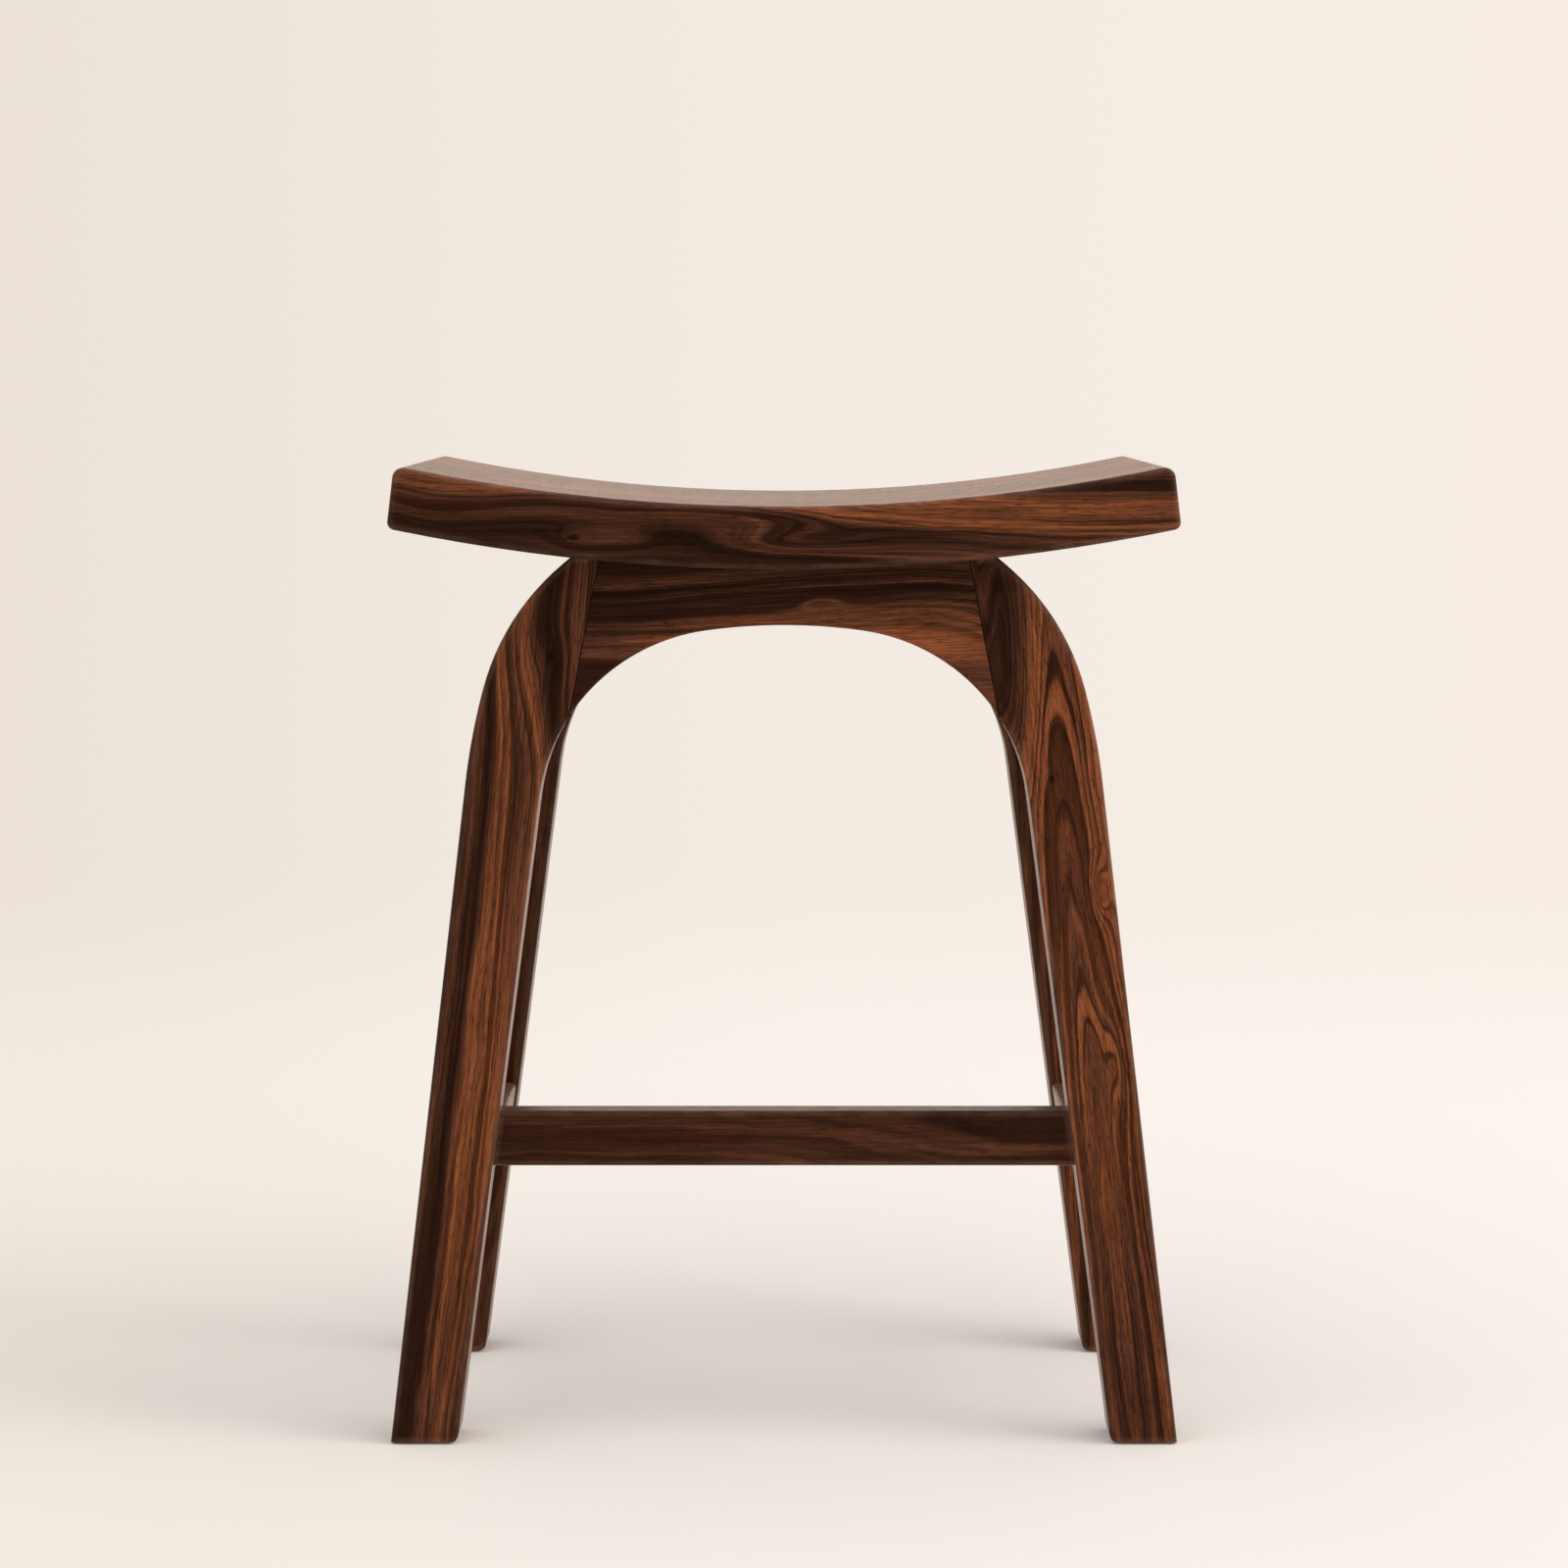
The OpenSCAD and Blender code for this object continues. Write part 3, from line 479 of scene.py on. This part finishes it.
def joint_group(name):
    """The fine line where the plane of a glued joint meets the surface, and what lies clear of it."""
    g, take, put_out = group(
        name,
        [("Vector", "Vector", None), ("Point", "Vector", None), ("Facing", "Vector", None),
         ("Low", "Float", 0.0), ("Width", "Float", 0.0005)],
        [("Line", "Float"), ("Clear", "Float")])
    away = g.vector("SUBTRACT", take["Vector"], take["Point"])
    off = g.maths("ABSOLUTE", g.vector("DOT_PRODUCT", away, take["Facing"], output=1))
    widths = g.maths("DIVIDE", off, take["Width"])
    below = g.maths("LESS_THAN", g.split(take["Vector"])[2], take["Low"])
    widths = g.maths("MULTIPLY_ADD", below, PAST_THE_END, widths)
    return put_out(Line=g.rise(widths, *LINE_WIDTHS), Clear=g.rise(widths, *CLEAR_WIDTHS))


# Planks

EVEN = ((0.0, 0.52), (1.0, 0.52))
DARK = ((0.0, 0.36), (1.0, 0.36))


class Plank:
    """How one piece was cut from the tree.

    Heart is a point on the tree's heart, run its direction there and bow how it bends, in metres per metre
    squared. Bands gives how light the wood is, from 0 to 1, at distances from the heart. A knot is its place,
    its length, its width, how far it lifts the rings, and whether its core shows. A joint is a point on its
    plane, the way the plane faces and the height where it ends. Fade gives two places along the heart, and
    how much of its lightness the wood keeps at the first of them.
    """

    def __init__(self, heart, run, seed, bands=EVEN, bow=0.0, mottle=0.7, darkness=0.35,
                 ring_depth=0.5, knots=(), joints=(), ring=1.0, wander=1.0, rubbed_and_highlit=1.0, fade=None):
        self.heart, self.run, self.seed = Vector(heart), Vector(run).normalized(), seed
        self.bands, self.bow, self.mottle, self.darkness = bands, bow, mottle, darkness
        self.ring_depth, self.ring, self.wander = ring_depth, ring, wander
        self.knots, self.joints, self.rubbed_and_highlit, self.fade = knots, joints, rubbed_and_highlit, fade

    def turn(self):
        """Rotation from the plank's own axes, x along its heart, to the stool's."""
        side = self.run.cross(Vector((0, 1, 0)))
        if side.length < 0.5:
            side = self.run.cross(Vector((0, 0, 1)))
        side.normalize()
        return Matrix((self.run, side, self.run.cross(side))).transposed()

    def inside(self, point):
        """A point of the stool in the plank's own axes."""
        return self.turn().transposed() @ (Vector(point) - self.heart)


def arch_joint(side):
    """The leaning joint between a leg and an arch rail; side is -1 at the left and 1 at the right."""
    facing = (side * math.cos(ARCH_JOINT_LEAN), 0.0, math.sin(ARCH_JOINT_LEAN))
    return (side * ARCH_JOINT_X, 0.0, ARCH_JOINT_TOP), facing, ARCH_JOINT_FOOT


LEFT_JOINT = [arch_joint(-1)]
RIGHT_JOINT = [arch_joint(1)]
SEAT_JOINTS = [((0.0, y, 0.0), (0.0, 1.0, 0.0), 0.0) for y in SEAT_SEAMS]

PLANKS = {
    "seat_board_front": Plank(
        (0.15, -0.10, 0.519), (1, 0.01, 0.0), 4.1, bow=0.156, mottle=0.55, darkness=0.25, wander=0.8,
        fade=(-0.42, -0.22, 0.6),
        bands=((0.070, 0.50), (0.078, 0.38), (0.084, 0.44), (0.089, 0.36), (0.0935, 0.38), (0.0970, 0.26),
               (0.0985, 0.52), (0.1003, 0.48), (0.1012, 0.12), (0.1035, 0.80), (0.113, 0.76), (0.1235, 0.86),
               (0.1250, 0.05), (0.130, 0.34), (0.150, 0.40)),
        knots=[((-0.133, SEAT_FRONT, 0.5907), 0.015, 0.008, 0.003, 1),
               ((-0.112, SEAT_FRONT, 0.590), 0.028, 0.008, 0.006, 0),
               ((-0.215, SEAT_FRONT, 0.605), 0.060, 0.030, 0.005, 0),
               ((-0.150, SEAT_FRONT, 0.615), 0.050, 0.030, -0.005, 0),
               ((-0.050, SEAT_FRONT, 0.600), 0.080, 0.016, -0.010, 0),
               ((0.010, SEAT_FRONT, 0.5882), 0.045, 0.008, 0.009, 0)],
        joints=SEAT_JOINTS[:1]),
    "seat_board_front_middle": Plank(
        (0.0, -0.05, 0.50), (1, -0.02, 0.03), 12.7, bow=0.1, joints=SEAT_JOINTS[:2]),
    "seat_board_rear_middle": Plank(
        (0.0, 0.06, 0.49), (1, 0.03, -0.02), 21.3, bow=0.1, joints=SEAT_JOINTS[1:]),
    "seat_board_rear": Plank(
        (0.0, 0.11, 0.53), (1, -0.03, 0.03), 33.9, bow=0.1, joints=SEAT_JOINTS[2:]),
    "front_left_leg": Plank(
        (-0.262, -0.09, 0.24), (0.10, -0.02, 1), 7.3, bow=0.07, mottle=0.5, darkness=0.15, wander=0.5,
        fade=(-0.22, 0.04, 0.60),
        bands=((0.060, 0.50), (0.067, 0.24), (0.073, 0.40), (0.0785, 0.18), (0.0815, 0.88), (0.092, 0.90),
               (0.101, 0.80), (0.105, 0.56), (0.109, 0.26), (0.119, 0.20), (0.128, 0.28)),
        knots=[((-0.1493, FRONT, 0.513), 0.018, 0.011, -0.004, 1),
               ((-0.160, FRONT, 0.42), 0.050, 0.012, -0.004, 0),
               ((-0.163, FRONT, 0.53), 0.045, 0.020, 0.011, 0)],
        joints=LEFT_JOINT),
    "front_right_leg": Plank(
        (0.230, -0.157, 0.0), (-0.125, 0.06, 1), 15.2, mottle=0.6, darkness=0.25, ring=0.66, wander=0.6,
        ring_depth=0.75,
        bands=((0.0, 0.80), (0.005, 0.70), (0.008, 0.46), (0.011, 0.76), (0.017, 0.78), (0.0225, 0.84),
               (0.0245, 0.60), (0.029, 0.74), (0.036, 0.76), (0.0405, 0.22), (0.055, 0.22)),
        knots=[((0.1715, FRONT, 0.4351), 0.009, 0.006, 0.001, 1),
               ((0.203, FRONT, 0.362), 0.018, 0.006, 0.010, 0),
               ((0.216, FRONT, 0.250), 0.045, 0.008, -0.008, 0),
               ((0.142, FRONT, 0.56), 0.06, 0.014, 0.017, 0),
               ((0.143, FRONT, 0.49), 0.05, 0.015, 0.016, 0)],
        joints=RIGHT_JOINT),
    "rear_left_leg": Plank(
        (-0.24, 0.06, 0.0), (0.12, 0.03, 1), 44.0, bow=0.05, joints=LEFT_JOINT),
    "rear_right_leg": Plank(
        (0.28, 0.07, 0.0), (-0.11, -0.03, 1), 51.6, bow=-0.05,
        knots=[((0.17, -FRONT, 0.40), 0.02, 0.009, 0.012, 1)], joints=RIGHT_JOINT),
    "front_arch_rail": Plank(
        (0.10, -0.085, 0.50), (1, 0.02, 0.03), 27.4, darkness=0.3, wander=1.2, rubbed_and_highlit=0.0,
        fade=(-0.23, -0.12, 0.6),
        # The bands darken toward the top of the rail, just under the seat: painted shade of the seat's
        # overhang over the rail's own figure
        bands=((0.070, 0.62), (0.082, 0.56), (0.087, 0.38), (0.092, 0.24), (0.098, 0.04), (0.120, 0.04)),
        knots=[((0.0234, FRONT, 0.5487), 0.015, 0.004, -0.006, 0),
               ((-0.10, FRONT, 0.56), 0.090, 0.03, 0.010, 0),
               ((0.10, FRONT, 0.545), 0.050, 0.02, -0.007, 0)],
        joints=LEFT_JOINT + RIGHT_JOINT),
    "rear_arch_rail": Plank(
        (0.0, 0.08, 0.56), (1, -0.02, 0.03), 61.8, bands=DARK, rubbed_and_highlit=0.0,
        joints=LEFT_JOINT + RIGHT_JOINT),
    "left_side_rail": Plank((-0.25, 0.0, 0.50), (0.02, 1, 0.02), 72.5, bands=DARK),
    "right_side_rail": Plank((0.24, 0.0, 0.52), (-0.02, 1, 0.01), 80.1),
    "footrest": Plank((0.0, -0.30, 0.24), (1, 0.01, 0.008), 91.7, bands=DARK, mottle=0.45, darkness=0.2),
    "left_side_stretcher": Plank((-0.24, 0.0, 0.11), (0.01, 1, 0.02), 99.2),
    "right_side_stretcher": Plank((0.26, 0.0, 0.20), (0.02, 1, -0.02), 105.8),
}

BLOCKS = {
    "front_left_corner_block": Plank((-0.2, -0.05, 0.50), (1, -1, 0.05), 112.0, darkness=0.15),
    "front_right_corner_block": Plank((0.2, -0.05, 0.49), (1, 1, 0.02), 118.0, darkness=0.15),
    "rear_left_corner_block": Plank((-0.2, 0.06, 0.51), (1, 1, -0.03), 124.0, darkness=0.15),
    "rear_right_corner_block": Plank((0.2, 0.05, 0.50), (1, -1, 0.04), 130.0, darkness=0.15),
}

PALE = {
    "seat_dowels": Plank((0.0, 0.0, 0.40), (0.01, 1, 0.02), 137.0, darkness=0.1),
    "front_loose_tenons": Plank((0.0, -0.10, 0.45), (1, 0.02, 0.03), 143.0, darkness=0.1),
    "rear_loose_tenons": Plank((0.0, 0.09, 0.44), (1, 0.03, 0.02), 149.0, darkness=0.1),
}


def band_level(graph, field, bands):
    """How light the wood is at a distance from the heart."""
    low, high = bands[0][0], bands[-1][0]
    made = graph.add("ValToRGB", {0: graph.maths("DIVIDE", graph.maths("SUBTRACT", field, low), high - low)})
    stops = made.color_ramp.elements
    while len(stops) < len(bands):
        stops.new(1.0)
    for stop, (far, level) in zip(stops, bands):
        stop.position = (far - low) / (high - low)
        stop.color = (level, level, level, 1)
    return made.outputs[0]


def knots_of(g, own, plank):
    """How far the plank's knots lift its rings, and where their dark middles show."""
    rise, core = 0.0, 0.0
    for at, along, across, lift, shows in plank.knots:
        knot = place(g, shared("Stool Knot", knot_group), Vector=own, Place=plank.inside(at),
                     Length=along, Width=across, Lift=lift)
        rise = g.maths("ADD", knot["Rise"], rise)
        if shows:
            core = g.maths("MAXIMUM", knot["Core"], core)
    return rise, core


def joints_of(g, spot, plank, width):
    """The lines of the plank's glued joints, and the wood that lies clear of them."""
    line, clear = 0.0, 1.0
    for point, facing, low in plank.joints:
        joint = place(g, shared("Stool Joint", joint_group), Vector=spot, Point=point, Facing=facing,
                      Low=low, Width=width)
        line = g.maths("MAXIMUM", joint["Line"], line)
        clear = g.maths("MINIMUM", joint["Clear"], clear)
    return line, clear


def wood_material(node, plank, colours):
    """Oiled wood of one plank. The colours are warm, mid, dark and line."""
    scene = bpy.context.scene
    wood, joints = scene.stool_wood, scene.stool_joints
    made, g, spot = new_material(node.replace("_", " ").capitalize())
    own = g.add("Mapping", {"Vector": spot, "Location": plank.heart, "Rotation": plank.turn().to_euler()},
                vector_type="TEXTURE").outputs[0]
    rise, core = knots_of(g, own, plank)
    figure = place(g, shared("Stool Figure", figure_group), Vector=own, Seed=plank.seed, Rise=rise,
                   Bow=plank.bow, Ring=wood.ring * plank.ring, Wander=wood.wander * plank.wander,
                   Pore=wood.pore)
    band = band_level(g, figure["Field"], plank.bands)
    if plank.fade:
        start, stop, least = plank.fade
        band = g.maths("MULTIPLY", band, g.rise(g.split(own)[0], start, stop, least, 1.0))
    seam, clear = joints_of(g, spot, plank, joints.width)
    # Edge strip: worn finish, partly a painted highlight on the rounded edges
    wear_and_highlight = place(g, shared("Stool Edge Wear", wear_and_highlight_group), Width=wood.edge, Vector=spot, Clear=clear)["Wear"]
    warm, mid, dark, line = colours
    skin = place(
        g, shared("Stool Oiled Wood", finish_group), Band=band,
        **{key: figure[key] for key in ("Rings", "Lines", "Streaks", "Tone", "Fibre", "Pores")},
        Core=core, Wear=wear_and_highlight, Joint=seam, Warm=warm, Mid=mid, Dark=dark, Line=line, Worn=wood.worn,
        Glue=joints.glue, Mottle=plank.mottle, Darkness=plank.darkness, Ring_Depth=plank.ring_depth,
        Line_Depth=LINE_DEPTH, Satin=wood.satin, Rubbed=wood.rubbed_and_highlit * plank.rubbed_and_highlit)
    bump = g.add("Bump", {"Height": skin["Height"], "Distance": wood.relief}).outputs[0]
    # Painted sheen: toward grazing views the base colour is mixed toward a pale colour, a painted reflection
    along = g.rise(g.add("LayerWeight", {"Normal": bump}).outputs["Facing"], *PAINTED_SHEEN_ANGLES)
    shade = g.mix(g.maths("MULTIPLY", along, wood.painted_sheen), skin["Color"], wood.painted_sheen_colour)
    cover(g, Base_Color=shade, Roughness=skin["Roughness"], Normal=bump, IOR=OIL_IOR,
          Specular_Tint=(*wood.shine, 1))
    return made


def give_finish(node, material):
    """Gives a piece its finish."""
    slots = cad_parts[node].data.materials
    slots.clear()
    slots.append(material)


def finish_planks(names):
    """Gives each of these pieces its own plank's figure."""
    wood = bpy.context.scene.stool_wood
    for name in names:
        if name in PALE:
            colours, plank = (wood.pale, wood.pale, wood.pale_line, wood.pale_line), PALE[name]
        elif name in BLOCKS:
            colours, plank = (wood.warm, wood.block, wood.mid, wood.dark), BLOCKS[name]
        else:
            colours, plank = (wood.warm, wood.mid, wood.dark, wood.line), PLANKS[name]
        give_finish(name, wood_material(name, plank, colours))
    return {"FINISHED"}


def steel_material(name):
    """Zinc-plated steel with fine scratches and a few dull spots."""
    tools = bpy.context.scene.stool_hardware
    made, g, spot = new_material(name)
    scratch = g.noise(g.vector("MULTIPLY", spot, STEEL_SCRATCHES))
    dull = g.rise(g.noise(g.scaled(spot, STEEL_SPOTS), 3.0), *SPOTS_SHOW)
    spotted = tuple(c * SPOT_SHADE for c in tools.steel)
    shade = g.mix(g.maths("MULTIPLY", dull, SPOT_SHARE), tools.steel, spotted)
    rough = g.maths("MULTIPLY_ADD", scratch, 0.16, tools.steel_rough - 0.08)
    rough = g.maths("MULTIPLY_ADD", dull, 0.18, rough)
    bump = g.add("Bump", {"Height": scratch, "Distance": SCRATCH_DEPTH}).outputs[0]
    cover(g, Base_Color=shade, Metallic=1.0, Roughness=rough, Normal=bump)
    return made


def nylon_material(name):
    """Moulded nylon, scuffed where it slides on the floor."""
    tools = bpy.context.scene.stool_hardware
    made, g, spot = new_material(name)
    grain = g.noise(g.scaled(spot, NYLON_GRAIN))
    scuff = g.noise(g.vector("MULTIPLY", spot, NYLON_SCUFFS), 3.0)
    low = g.rise(g.split(spot)[2], SCUFF_HEIGHT, 0.0)
    low = g.maths("MULTIPLY_ADD", low, 1 - LEAST_SCUFFED, LEAST_SCUFFED)
    worn = g.maths("MULTIPLY", g.rise(scuff, *SCUFFS_SHOW), low)
    shade = g.mix(worn, tools.nylon, tuple(min(1.0, c * 4 + 0.02) for c in tools.nylon))
    rough = g.maths("MULTIPLY_ADD", worn, 0.25, tools.nylon_rough)
    rough = g.maths("MULTIPLY_ADD", grain, 0.08, rough)
    bump = g.add("Bump", {"Height": grain, "Distance": NYLON_RELIEF}).outputs[0]
    cover(g, Base_Color=shade, Roughness=rough, Normal=bump)
    return made


# Pieces

class STOOL_OT_seat(bpy.types.Operator):
    """Finishes the four boards of the seat"""
    bl_idname = "stool.seat"
    bl_label = "Seat Boards"

    def execute(self, context):
        return finish_planks([
            "seat_board_front", "seat_board_front_middle", "seat_board_rear_middle", "seat_board_rear"])


class STOOL_OT_dowels(bpy.types.Operator):
    """Finishes the dowels of the seat and the loose tenons of the arches"""
    bl_idname = "stool.dowels"
    bl_label = "Dowels and Loose Tenons"

    def execute(self, context):
        return finish_planks(list(PALE))


class STOOL_OT_legs(bpy.types.Operator):
    """Finishes the four legs"""
    bl_idname = "stool.legs"
    bl_label = "Legs"

    def execute(self, context):
        return finish_planks(["front_left_leg", "front_right_leg", "rear_left_leg", "rear_right_leg"])


class STOOL_OT_arches(bpy.types.Operator):
    """Finishes the two arch rails"""
    bl_idname = "stool.arches"
    bl_label = "Arch Rails"

    def execute(self, context):
        return finish_planks(["front_arch_rail", "rear_arch_rail"])


class STOOL_OT_side_rails(bpy.types.Operator):
    """Finishes the rails under the sides of the seat"""
    bl_idname = "stool.side_rails"
    bl_label = "Side Rails"

    def execute(self, context):
        return finish_planks(["left_side_rail", "right_side_rail"])


class STOOL_OT_blocks(bpy.types.Operator):
    """Finishes the four corner blocks"""
    bl_idname = "stool.blocks"
    bl_label = "Corner Blocks"

    def execute(self, context):
        return finish_planks(list(BLOCKS))


class STOOL_OT_footrest(bpy.types.Operator):
    """Finishes the footrest between the front legs"""
    bl_idname = "stool.footrest"
    bl_label = "Footrest"

    def execute(self, context):
        return finish_planks(["footrest"])


class STOOL_OT_stretchers(bpy.types.Operator):
    """Finishes the two side stretchers"""
    bl_idname = "stool.stretchers"
    bl_label = "Side Stretchers"

    def execute(self, context):
        return finish_planks(["left_side_stretcher", "right_side_stretcher"])


class STOOL_OT_screws(bpy.types.Operator):
    """Finishes the screws of the corner blocks and of the seat"""
    bl_idname = "stool.screws"
    bl_label = "Screws"

    def execute(self, context):
        steel = steel_material("Zinc plated steel")
        for name in ("corner_block_screws", "seat_screws"):
            give_finish(name, steel)
        return {"FINISHED"}


class STOOL_OT_glides(bpy.types.Operator):
    """Finishes the four foot glides"""
    bl_idname = "stool.glides"
    bl_label = "Foot Glides"

    def execute(self, context):
        nylon = nylon_material("Moulded nylon")
        for name in ("front_left_glide", "front_right_glide", "rear_left_glide", "rear_right_glide"):
            give_finish(name, nylon)
        return {"FINISHED"}


# Stage

def floor_material(stage):
    """Matt floor with painted light, lighter toward the right where the lamp stands, that fades into the
    backdrop, and can be seen through from below.
    """
    made, g, spot = new_material("Studio floor")
    cloud = g.noise(g.scaled(spot, CLOUDS))
    # Painted light: the floor's colour grows lighter toward the right, where the lamp stands
    shade = g.mix(g.rise(g.split(spot)[0], *FLOOR_PAINTED_LIGHT_BLEND), stage.floor, stage.floor_lit_right)
    shade = g.mix(g.maths("MULTIPLY", cloud, CLOUD_SHARE), shade, CLOUD_TINT, "MULTIPLY")
    matt = g.add("BsdfDiffuse", {"Color": shade, "Roughness": 0.5}).outputs[0]
    clear = g.add("BsdfTransparent").outputs[0]
    fade = g.rise(g.vector("LENGTH", spot, output=1), *(stage.floor_radius * part for part in FLOOR_FADE))
    below = g.add("NewGeometry").outputs["Backfacing"]
    see = g.maths("MAXIMUM", fade, below)
    blend = g.add("MixShader", {0: see, 1: matt, 2: clear}).outputs[0]
    g.add("OutputMaterial", {"Surface": blend})
    return made


def set_world(stage):
    """The backdrop, with painted light that grows from left to right, the light from all round, and what the
    finish mirrors: the sky, the side and the back.
    """
    world = bpy.data.worlds.new("Studio")
    bpy.context.scene.world = world
    world.use_nodes = True
    world.node_tree.nodes.clear()
    g = Graph(world.node_tree)
    way = g.split(g.add("TexCoord").outputs["Generated"])
    # Painted light: the backdrop's colour grows lighter toward the right
    seen = g.mix(g.rise(way[0], *LEFT_TO_MIDDLE), stage.backdrop_shaded_left, stage.backdrop)
    seen = g.mix(g.rise(way[0], *MIDDLE_TO_RIGHT), seen, stage.backdrop_lit_right)
    backdrop = g.add("Background", {"Color": seen}).outputs[0]
    fill = g.add("Background", {"Color": FILL_TINT, "Strength": stage.fill}).outputs[0]
    level = g.maths("MAXIMUM", g.rise(way[1], *BEHIND, stage.sheen, 1.0),
                    g.rise(way[2], *ABOVE, stage.sheen, stage.sky))
    level = g.maths("MAXIMUM", level, g.rise(way[0], *BESIDE, stage.sheen, stage.side))
    mirrored = g.add("Background", {"Color": seen, "Strength": level}).outputs[0]
    path = g.add("LightPath").outputs
    plain = g.add("MixShader", {0: path["Is Glossy Ray"], 1: fill, 2: mirrored}).outputs[0]
    shown = g.maths("MAXIMUM", path["Is Camera Ray"], path["Is Transmission Ray"])
    g.add("OutputWorld", {"Surface": g.add("MixShader", {0: shown, 1: plain, 2: backdrop}).outputs[0]})


def add_floor(stage):
    """A round floor under the feet."""
    mesh = bpy.data.meshes.new("Floor")
    shape = bmesh.new()
    bmesh.ops.create_circle(shape, cap_ends=True, segments=FLOOR_SIDES, radius=stage.floor_radius)
    shape.to_mesh(mesh)
    shape.free()
    mesh.materials.append(floor_material(stage))
    floor = bpy.data.objects.new("Floor", mesh)
    bpy.context.scene.collection.objects.link(floor)


def add_lamp(stage):
    """A large soft lamp, high up at the right and a little in front."""
    lamp = bpy.data.lights.new("Key lamp", "AREA")
    lamp.shape, lamp.size, lamp.energy, lamp.color = "DISK", stage.key_size, stage.key, LAMP_TINT
    made = bpy.data.objects.new("Key lamp", lamp)
    made.location = LAMP_PLACE
    made.rotation_euler = (Vector(LAMP_TARGET) - Vector(LAMP_PLACE)).to_track_quat("-Z", "Y").to_euler()
    bpy.context.scene.collection.objects.link(made)


def add_camera(stage):
    """The camera in front, where the photo was taken from."""
    camera = bpy.data.cameras.new("Camera")
    camera.lens = stage.lens
    camera.clip_start, camera.clip_end = NEAREST, FARTHEST
    made = bpy.data.objects.new("Camera", camera)
    made.location = stage.camera
    made.rotation_euler = (math.pi / 2 - stage.pitch, 0, 0)
    bpy.context.scene.collection.objects.link(made)
    bpy.context.scene.camera = made


class STOOL_OT_stage(bpy.types.Operator):
    """Sets the floor, the backdrop, the lamp and the camera"""
    bl_idname = "stool.stage"
    bl_label = "Stage"

    def execute(self, context):
        stage = context.scene.stool_stage
        add_floor(stage)
        set_world(stage)
        add_lamp(stage)
        add_camera(stage)
        context.scene.view_settings.view_transform = "Standard"
        return {"FINISHED"}


class STOOL_PT_panel(bpy.types.Panel):
    bl_label = "Counter Stool"
    bl_idname = "STOOL_PT_panel"
    bl_space_type = "VIEW_3D"
    bl_region_type = "UI"
    bl_category = "Stool"

    def draw(self, context):
        for key in SETTINGS:
            owner = getattr(context.scene, key)
            box = self.layout.box()
            box.label(text=key.removeprefix("stool_").capitalize())
            for setting in owner.__annotations__:
                box.prop(owner, setting)
        for operator in OPERATORS:
            self.layout.operator(operator.bl_idname)


SETTINGS = {"stool_wood": StoolWood, "stool_joints": StoolJoints, "stool_hardware": StoolHardware,
            "stool_stage": StoolStage}
OPERATORS = (STOOL_OT_stage, STOOL_OT_seat, STOOL_OT_legs, STOOL_OT_arches, STOOL_OT_side_rails,
             STOOL_OT_footrest, STOOL_OT_stretchers, STOOL_OT_blocks, STOOL_OT_dowels, STOOL_OT_screws,
             STOOL_OT_glides)


def register():
    for kind in (*SETTINGS.values(), *OPERATORS, STOOL_PT_panel):
        bpy.utils.register_class(kind)
    for key, kind in SETTINGS.items():
        setattr(bpy.types.Scene, key, bpy.props.PointerProperty(type=kind))


def unregister():
    for key in SETTINGS:
        delattr(bpy.types.Scene, key)
    for kind in reversed((*SETTINGS.values(), *OPERATORS, STOOL_PT_panel)):
        bpy.utils.unregister_class(kind)


def main():
    register()
    bpy.ops.stool.stage()
    bpy.ops.stool.seat()
    bpy.ops.stool.legs()
    bpy.ops.stool.arches()
    bpy.ops.stool.side_rails()
    bpy.ops.stool.footrest()
    bpy.ops.stool.stretchers()
    bpy.ops.stool.blocks()
    bpy.ops.stool.dowels()
    bpy.ops.stool.screws()
    bpy.ops.stool.glides()


if __name__ == "__main__":
    main()
